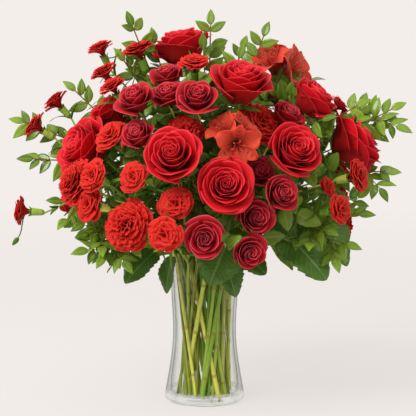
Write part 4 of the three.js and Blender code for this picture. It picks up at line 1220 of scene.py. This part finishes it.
# %% Collar leaves and their stalks, on the same lines as the solids
stalks, collar = Sheets(), Sheets()
starts = [route["points"][2] for route in routes if route["foot"]]
for number, (base, tip, width, facing) in enumerate(COLLAR_LEAVES):
    base, tip = np.array(base, float), np.array(tip, float)
    start = min(starts, key=lambda p: np.linalg.norm(p - base))
    way, length = unit(tip - base), np.linalg.norm(tip - base)
    line = bend(start, unit(UP * 0.5 + way * 0.5), base + way * 2, way, 6)
    stalks.add(tube(line, np.full(len(line), 1.3), 8), 0.6)
    leaf = blades(base[None], way[None], way_of(*facing), length * 1.1, width * 1.15, "broad",
                  0.35, 41, 11)
    collar.add(leaf, 0.15 + 0.5 * float(draw(number + 4)))
print("collar leaves", len(COLLAR_LEAVES))

# %% [markdown]
# ## Leafy sprigs
# Thin reddish twigs carry small glossy leaves in pairs, shorter towards the tip.
# They stand out all round the bouquet and give it its loose outline. The leaves
# face the front on the front half and the back on the rest, as on the solids.

# %% Leaves and side shoots of a twig
PAIR_EVERY, SHOOT_EVERY, BARE_END = 18.5, 34.0, 14    # mm along a twig
SHOOT, SHOOT_CURVE = 36.0, 4    # mm: length of a side shoot, and how far its tip bends aside
# Heights below which shoots grow: on the far right, elsewhere, and on both sides of a twig
HIGHEST_RIGHT, HIGHEST, HIGHEST_PAIR = 430, 345, 270


def outward(base, way):
    """Two ways square to a twig: across it, and the face, to the front or the back."""
    front = np.where(base[..., 1:2] < LAST_FRONT_LEAF, [0, -1, 0.6], [0, 1, 0.6])
    across = unit(np.cross(way, front))
    return across, np.cross(across, way)


def clear_leaves(base, way, face, length, luck):
    """Those of some leaves that are clear of the blooms."""
    ok = clear_of_blooms(base, way, length, 0.95)
    return base[ok], way[ok], face[ok], length[ok], luck[ok]


def sprig_leaves(line, arc, number):
    """Pairs about every 2 cm back from the tip, longest in the middle of the twig."""
    back = np.arange(24.0, min(arc[-1] - 10, 150), PAIR_EVERY)
    k = np.arange(len(back))
    back = back + 8 * draw(number * 3 + k)
    base, way = along_line(line, arc, arc[-1] - back)
    across, face = outward(base, way)
    size = np.interp(back, [20, 35, 60, 110, 150], [28, 31, 35, 35, 29])
    sets = []
    for flip in (-1, 1):
        luck, other = draw(number * 23 + k * 5 + flip), draw(number * 37 + k * 11 + 2 * flip)
        spread = (math.radians(50) + 0.5 * (luck - 0.5))[:, None]
        out = way * np.cos(spread) + flip * across * np.sin(spread)
        out = out + face * (0.9 * other[:, None] - 0.45) - 0.15 * UP
        tilt = face + flip * across * (1.1 * (luck[:, None] - 0.45))
        sets.append(clear_leaves(base, out, tilt, size * (0.8 + 0.4 * luck), luck))
    tip, tip_way = along_line(line, arc, arc[-1:] - 19)
    luck = draw(np.array([number * 7.0]))
    return sets + [(tip, tip_way, face[:1] + 0.4 * (luck - 0.5) * across[:1], 27.0, luck)]


def side_shoots(line, arc, number):
    """Short shoots on alternate sides of a twig in the lower half, on both sides lowest."""
    back = np.arange(46.0, min(arc[-1] - 20, 175), SHOOT_EVERY)
    base, way = along_line(line, arc, arc[-1] - back)
    across, face = outward(base, way)
    flip = np.where((np.arange(len(back)) + number) % 2, 1.0, -1.0)[:, None]
    top = np.where(base[:, 0] > 150, HIGHEST_RIGHT, HIGHEST)
    steps = np.linspace(0, 1, 5)[:, None]
    shoots = []
    for turn, highest in ((flip, top), (-flip, np.minimum(top, HIGHEST_PAIR))):
        out = unit(way * 0.7 + turn * across * 0.72 - 0.08 * UP)
        ok = clear_of_blooms(base, out, SHOOT + 10, 1.0)
        ok &= (base[:, 2] < highest) & (base[:, 2] > NECK_Z + 16)
        shoots += [b + o * SHOOT * steps + f * SHOOT_CURVE * steps ** 2
                   for b, o, f in zip(base[ok], out[ok], face[ok])]
    return shoots


def shoot_leaves(line, number):
    """Two pairs across the shoot and one leaf at its end."""
    way = unit(line[-1] - line[0])
    across, face = outward(line[0], way)
    luck = draw(number * 19 + np.arange(5) * 5)
    flip, other = np.array([[-1, 1, -1, 1, 0.0]]).T, luck[:, None]
    base = np.vstack([line[[1, 1, 3, 3]], line[4] - way])
    out = unit(way * 0.62 + flip * across * 0.78 + face * (0.8 * other - 0.4))
    tilt = face + flip * across * (1.1 * (other - 0.45)) + 0.3 * across * (other - 0.5)
    return clear_leaves(base, out, tilt, np.array([30, 30, 28, 28, 29]) * (0.85 + 0.3 * luck), luck)


print("side shoots are", SHOOT, "mm long")

# %% Twigs and leaflets of each branch
for number, branch in enumerate(branches):
    twigs, leaflets = Sheets(), Sheets()
    for i, (points, radii) in enumerate(branch["twigs"]):
        line, wide = smooth_line(*with_straight(dict(points=points, radii=radii, foot=i == 0)), 7)
        arc = arc_length(line)
        short = arc < arc[-1] - BARE_END
        red = np.interp(np.pad(line[short, 2], 1, "edge"), [NECK_Z, NECK_Z + 90], [0.05, 0.9])
        twigs.add(tube(line[short], wide[short], 8, cut=0.8 if i == 0 else 0),
                  0.2 + 0.7 * float(draw(number + i)), mark=red[None, :, None])
        sets = sprig_leaves(line, arc, number * 5 + i)
        for k, shoot in enumerate(side_shoots(line, arc, number + i)):
            twigs.add(tube(shoot, np.linspace(0.75, 0.5, len(shoot)), 6), 0.5, mark=0.8)
            sets.append(shoot_leaves(shoot, number * 31 + i * 7 + k))
        for base, out, tilt, length, luck in sets:
            if len(base):
                leaflets.add(blades(base, out, tilt, length, length * 0.43, "oval", luck), luck)
    name = branch["name"]
    settle(twigs.piece(name + "_twigs", red_twig), name)
    leaves = leaflets.piece(name + "_leaves", glossy_leaf, pale_leaf, thickness=0.45)
    print(name, "leaflet faces", settle(leaves, name))

# %% [markdown]
# ## Calyxes, sepals and buds
# Seen from the side or behind, each bloom sits in its green cup. A rose has five
# narrow sepals under its petals, and a carnation has a long tube with five teeth.
# Small buds stand on the carnation sprays.

# %% Sepals under roses, teeth on carnation calyxes
sepals = Sheets()
for bloom in blooms:
    side, up = sides_of(bloom["way"])
    k = np.arange(5)
    angle = (TAU * k / 5 + bloom["index"])[:, None]
    out = side * np.cos(angle) + up * np.sin(angle)
    luck = draw(bloom["index"] * 7 + k)
    r, way, base = bloom["radius"], bloom["way"], bloom["base"]
    if bloom["kind"] == "carnation":
        base = base + out * 0.2 * r - way * 0.08 * r
        sepals.add(blades(base, way + 0.35 * out, -out, 0.34 * r, 0.24 * r, "oval", 0, 6, 3), 0.5)
    elif bloom["kind"] != "alstroemeria":
        spread, face = out + way * (0.25 + 0.2 * luck[:, None]), out * 0.3 - way
        leaves = blades(base + out * 0.1 * r, spread, face, (0.72 + 0.3 * luck) * r, 0.2 * r,
                        "broad", -0.9, 8, 3)
        sepals.add(leaves, 0.3 + 0.5 * luck)
print("points of sepals and teeth", sepals.count)

# %% Buds on thin stalks from the nearest point of their spray
BUDS = [((-124, 0, 492), "c8"), ((-112, -28, 458), "c9"), ((-262, -30, 236), "c10"),
        ((196, -118, 300), "c12"), ((214, 60, 330), "c13")]
buds = Sheets()
NEAR = 45    # how far from its place the stalk of a bud likes to start


def stalk_cost(gap):
    """The distance, and more where it is far from the usual one."""
    return gap + 0.6 * abs(gap - NEAR)


for place, spray in BUDS:
    place = np.array(place, float)
    lines = [route for route in routes if route["stem"]["name"] == spray]
    start, start_way = growth_point(place, lines, stalk_cost, NECK_Z + 30, math.inf)
    way = unit(place - start + 12 * UP)
    line = bend(start, start_way, place, way, 7)
    buds.add(tube(line, np.linspace(0.9, 0.8, len(line)), 7))
    grow = np.linspace(0, 1, 9)
    swell = np.sin(math.pi * grow ** 0.8) ** 0.7 * (1 - 0.35 * grow)
    buds.add(tube(place + way * (grow[:, None] * 15 - 1), 0.5 + 3.6 * swell, 10), 0.4)
print("buds", len(BUDS))

# %% Make the green pieces
for name, sheets, thickness, *materials in (
        ("rose_leaves", stem_leaves, 0.5, broad_leaf, pale_leaf),
        ("carnation_leaves", narrow_leaves, 0.5, calyx_green),
        ("collar_leaves", collar, 0.6, collar_leaf, pale_leaf),
        ("collar_stalks", stalks, 0, green_stem),
        ("leaf_stalks", leaf_stalks, 0, calyx_green),
        ("sepals", sepals, 0.5, calyx_green),
        ("buds", buds, 0, calyx_green)):
    print(name, "faces", settle(sheets.piece(name, *materials, thickness=thickness)))

# %% [markdown]
# ## The vase
# The vase is blown or pressed clear glass: a thick floor, a rounded heel, a waist
# and a fire-polished lip. It is a solid of revolution, so one profile goes round:
# up the outside, over the lip, down the inside and over the floor. A shader that
# only bends light hides the stems in few samples, so most of the light goes
# straight through, with painted grey where the wall is seen edge on and in the
# thick floor, standing in for the dark lines that refraction draws there, and
# glass is mixed in.

# %% Turn the profile
def smooth_profile(points, per):
    """A Catmull-Rom curve through points of radius and height."""
    points = np.array(points, float)
    return smooth_line(points, np.ones(len(points)), per)[0]


outside = smooth_profile([(50, 0), (54.6, 1.6), (56.8, 6), (55.6, 16), (51.3, 40), (46.4, 75),
                          (45, 108), (47.3, 153), (48.9, 200)], 6)
lip = [(48.9, 202), (48.5, 203.2), (47.4, 203.8), (46.2, 203.2), (45.8, 202)]
inside = smooth_profile([(45.6, 198), (43.9, 153), (41.6, 108), (42.9, 75), (47.2, 40), (49.0, 20),
                         (46.5, 11.5), (38, 9.0), (20, 8.6)], 6)
profile = np.vstack([[(0, 0), (30, 0)], outside, lip, inside, [(0, 8.5)]])
wall = swung(profile[:, :1], 0, np.linspace(0, TAU, 97), profile[:, 1:])
print("wall rings and columns", wall.shape[:2])

# %% Clear glass, and the vase
GLASS_BASE = (0.010, 0.018)    # heights in metres, below which the thick glass shows itself
glass = Finish("clear_glass", Transmission_Weight=1.0, IOR=1.46, Base_Color=(0.95, 0.98, 0.965, 1))
glass.wear(Roughness=glass.noise(14.0).above(0.62, 0.9) * 0.03)
thin, grey = (glass.node("BsdfTransparent", {}, {"Color": colour})
              for colour in ((0.985, 0.992, 0.988, 1), (0.16, 0.2, 0.18, 1)))
edge = Value(glass, glass.node("LayerWeight", {}, {"Blend": 0.5}, output="Facing"))
base = 1 - glass.split(glass.place())[2].above(*GLASS_BASE)
# Painted shade: grey where the wall is seen edge on and in the thick floor, for the dark lines of
# refraction
painted_dark_edge = glass.mixed((edge ** 4 + base * 0.08).clamped(), thin, grey)
share = (edge ** 3 * 0.2 + 0.02 + base * 0.7).clamped()
glass.surface(glass.mixed(share, painted_dark_edge, glass.shader.outputs[0]))
vase_sheets = Sheets()
vase_sheets.add(wall[:, ::-1])
vase = vase_sheets.piece("glass_vase", glass.material)
shape = bmesh.new()
shape.from_mesh(vase.data)
bmesh.ops.recalc_face_normals(shape, faces=shape.faces)
shape.to_mesh(vase.data)
shape.free()
print("vase faces", settle(vase, "vase"))

# %% [markdown]
# ## Floor, light and camera
# The photograph is a studio shot on a pale seamless ground, lit from the upper
# left by a large soft light. A pale floor that fades into the same colour as the
# world hides the horizon, and one big lamp gives the soft shadow.

# %% Floor and world
GROUND = srgb(243, 238, 234)
UNDER = -0.05    # mm, so that the floor doesn't touch the foot of the vase
floor = Sheets()
rings = np.array([[0, 300, 900, 2000, 4000, 9000, 26000.0]]).T
floor.add(swung(rings, 0, np.linspace(0, TAU, 65), UNDER))
paper = Finish("pale_floor", Base_Color=(0.62, 0.60, 0.58, 1), Roughness=0.9,
               Specular_IOR_Level=0.1)
distance = paper.node("VectorMath", dict(operation="LENGTH"), {0: paper.place()}, "Value")
far = Value(paper, distance)
glow = paper.node("Emission", {}, {"Color": GROUND})
paper.surface(paper.mixed(far.above(0.9, 3.2) * 0.28 + 0.72, paper.shader.outputs[0], glow))
ground = floor.piece("pale_floor", paper.material)
world = bpy.data.worlds.new("studio")
world.use_nodes = True
world.node_tree.nodes["Background"].inputs["Color"].default_value = GROUND
world.node_tree.nodes["Background"].inputs["Strength"].default_value = 1.0
bpy.context.scene.world = world
print("floor faces", len(ground.data.polygons))

# %% Lamp
KEY_PLACE, KEY_LOOKS_AT = Vector((-1.5, -1.7, 2.2)), Vector((0, 0, 0.3))
light = bpy.data.lights.new("key", "AREA")
light.shape, light.size, light.energy, light.color = "SQUARE", 1.5, 85, (1.0, 0.98, 0.96)
lamp = bpy.data.objects.new("key", light)
lamp.location = KEY_PLACE
lamp.rotation_euler = (KEY_LOOKS_AT - KEY_PLACE).to_track_quat("-Z", "Y").to_euler()
bpy.context.scene.collection.objects.link(lamp)
print("lamp", lamp.name)

# %% Camera
PHOTO_SIDE, FOCAL, FILM = 416, 1267.4, 36    # pixels, pixels and mm
photo = bpy.data.cameras.new("photo")
photo.sensor_width = FILM
photo.lens = FILM * FOCAL / PHOTO_SIDE
photo.clip_end = 100
photo.shift_y = 1 / PHOTO_SIDE
camera = bpy.data.objects.new("photo", photo)
camera.location = (0.005, -1.8, 0.432)
camera.rotation_euler = (math.radians(85), 0, 0)
bpy.context.scene.view_settings.view_transform = "Standard"
bpy.context.scene.collection.objects.link(camera)
bpy.context.scene.camera = camera
print("lens", round(photo.lens, 1), "mm")
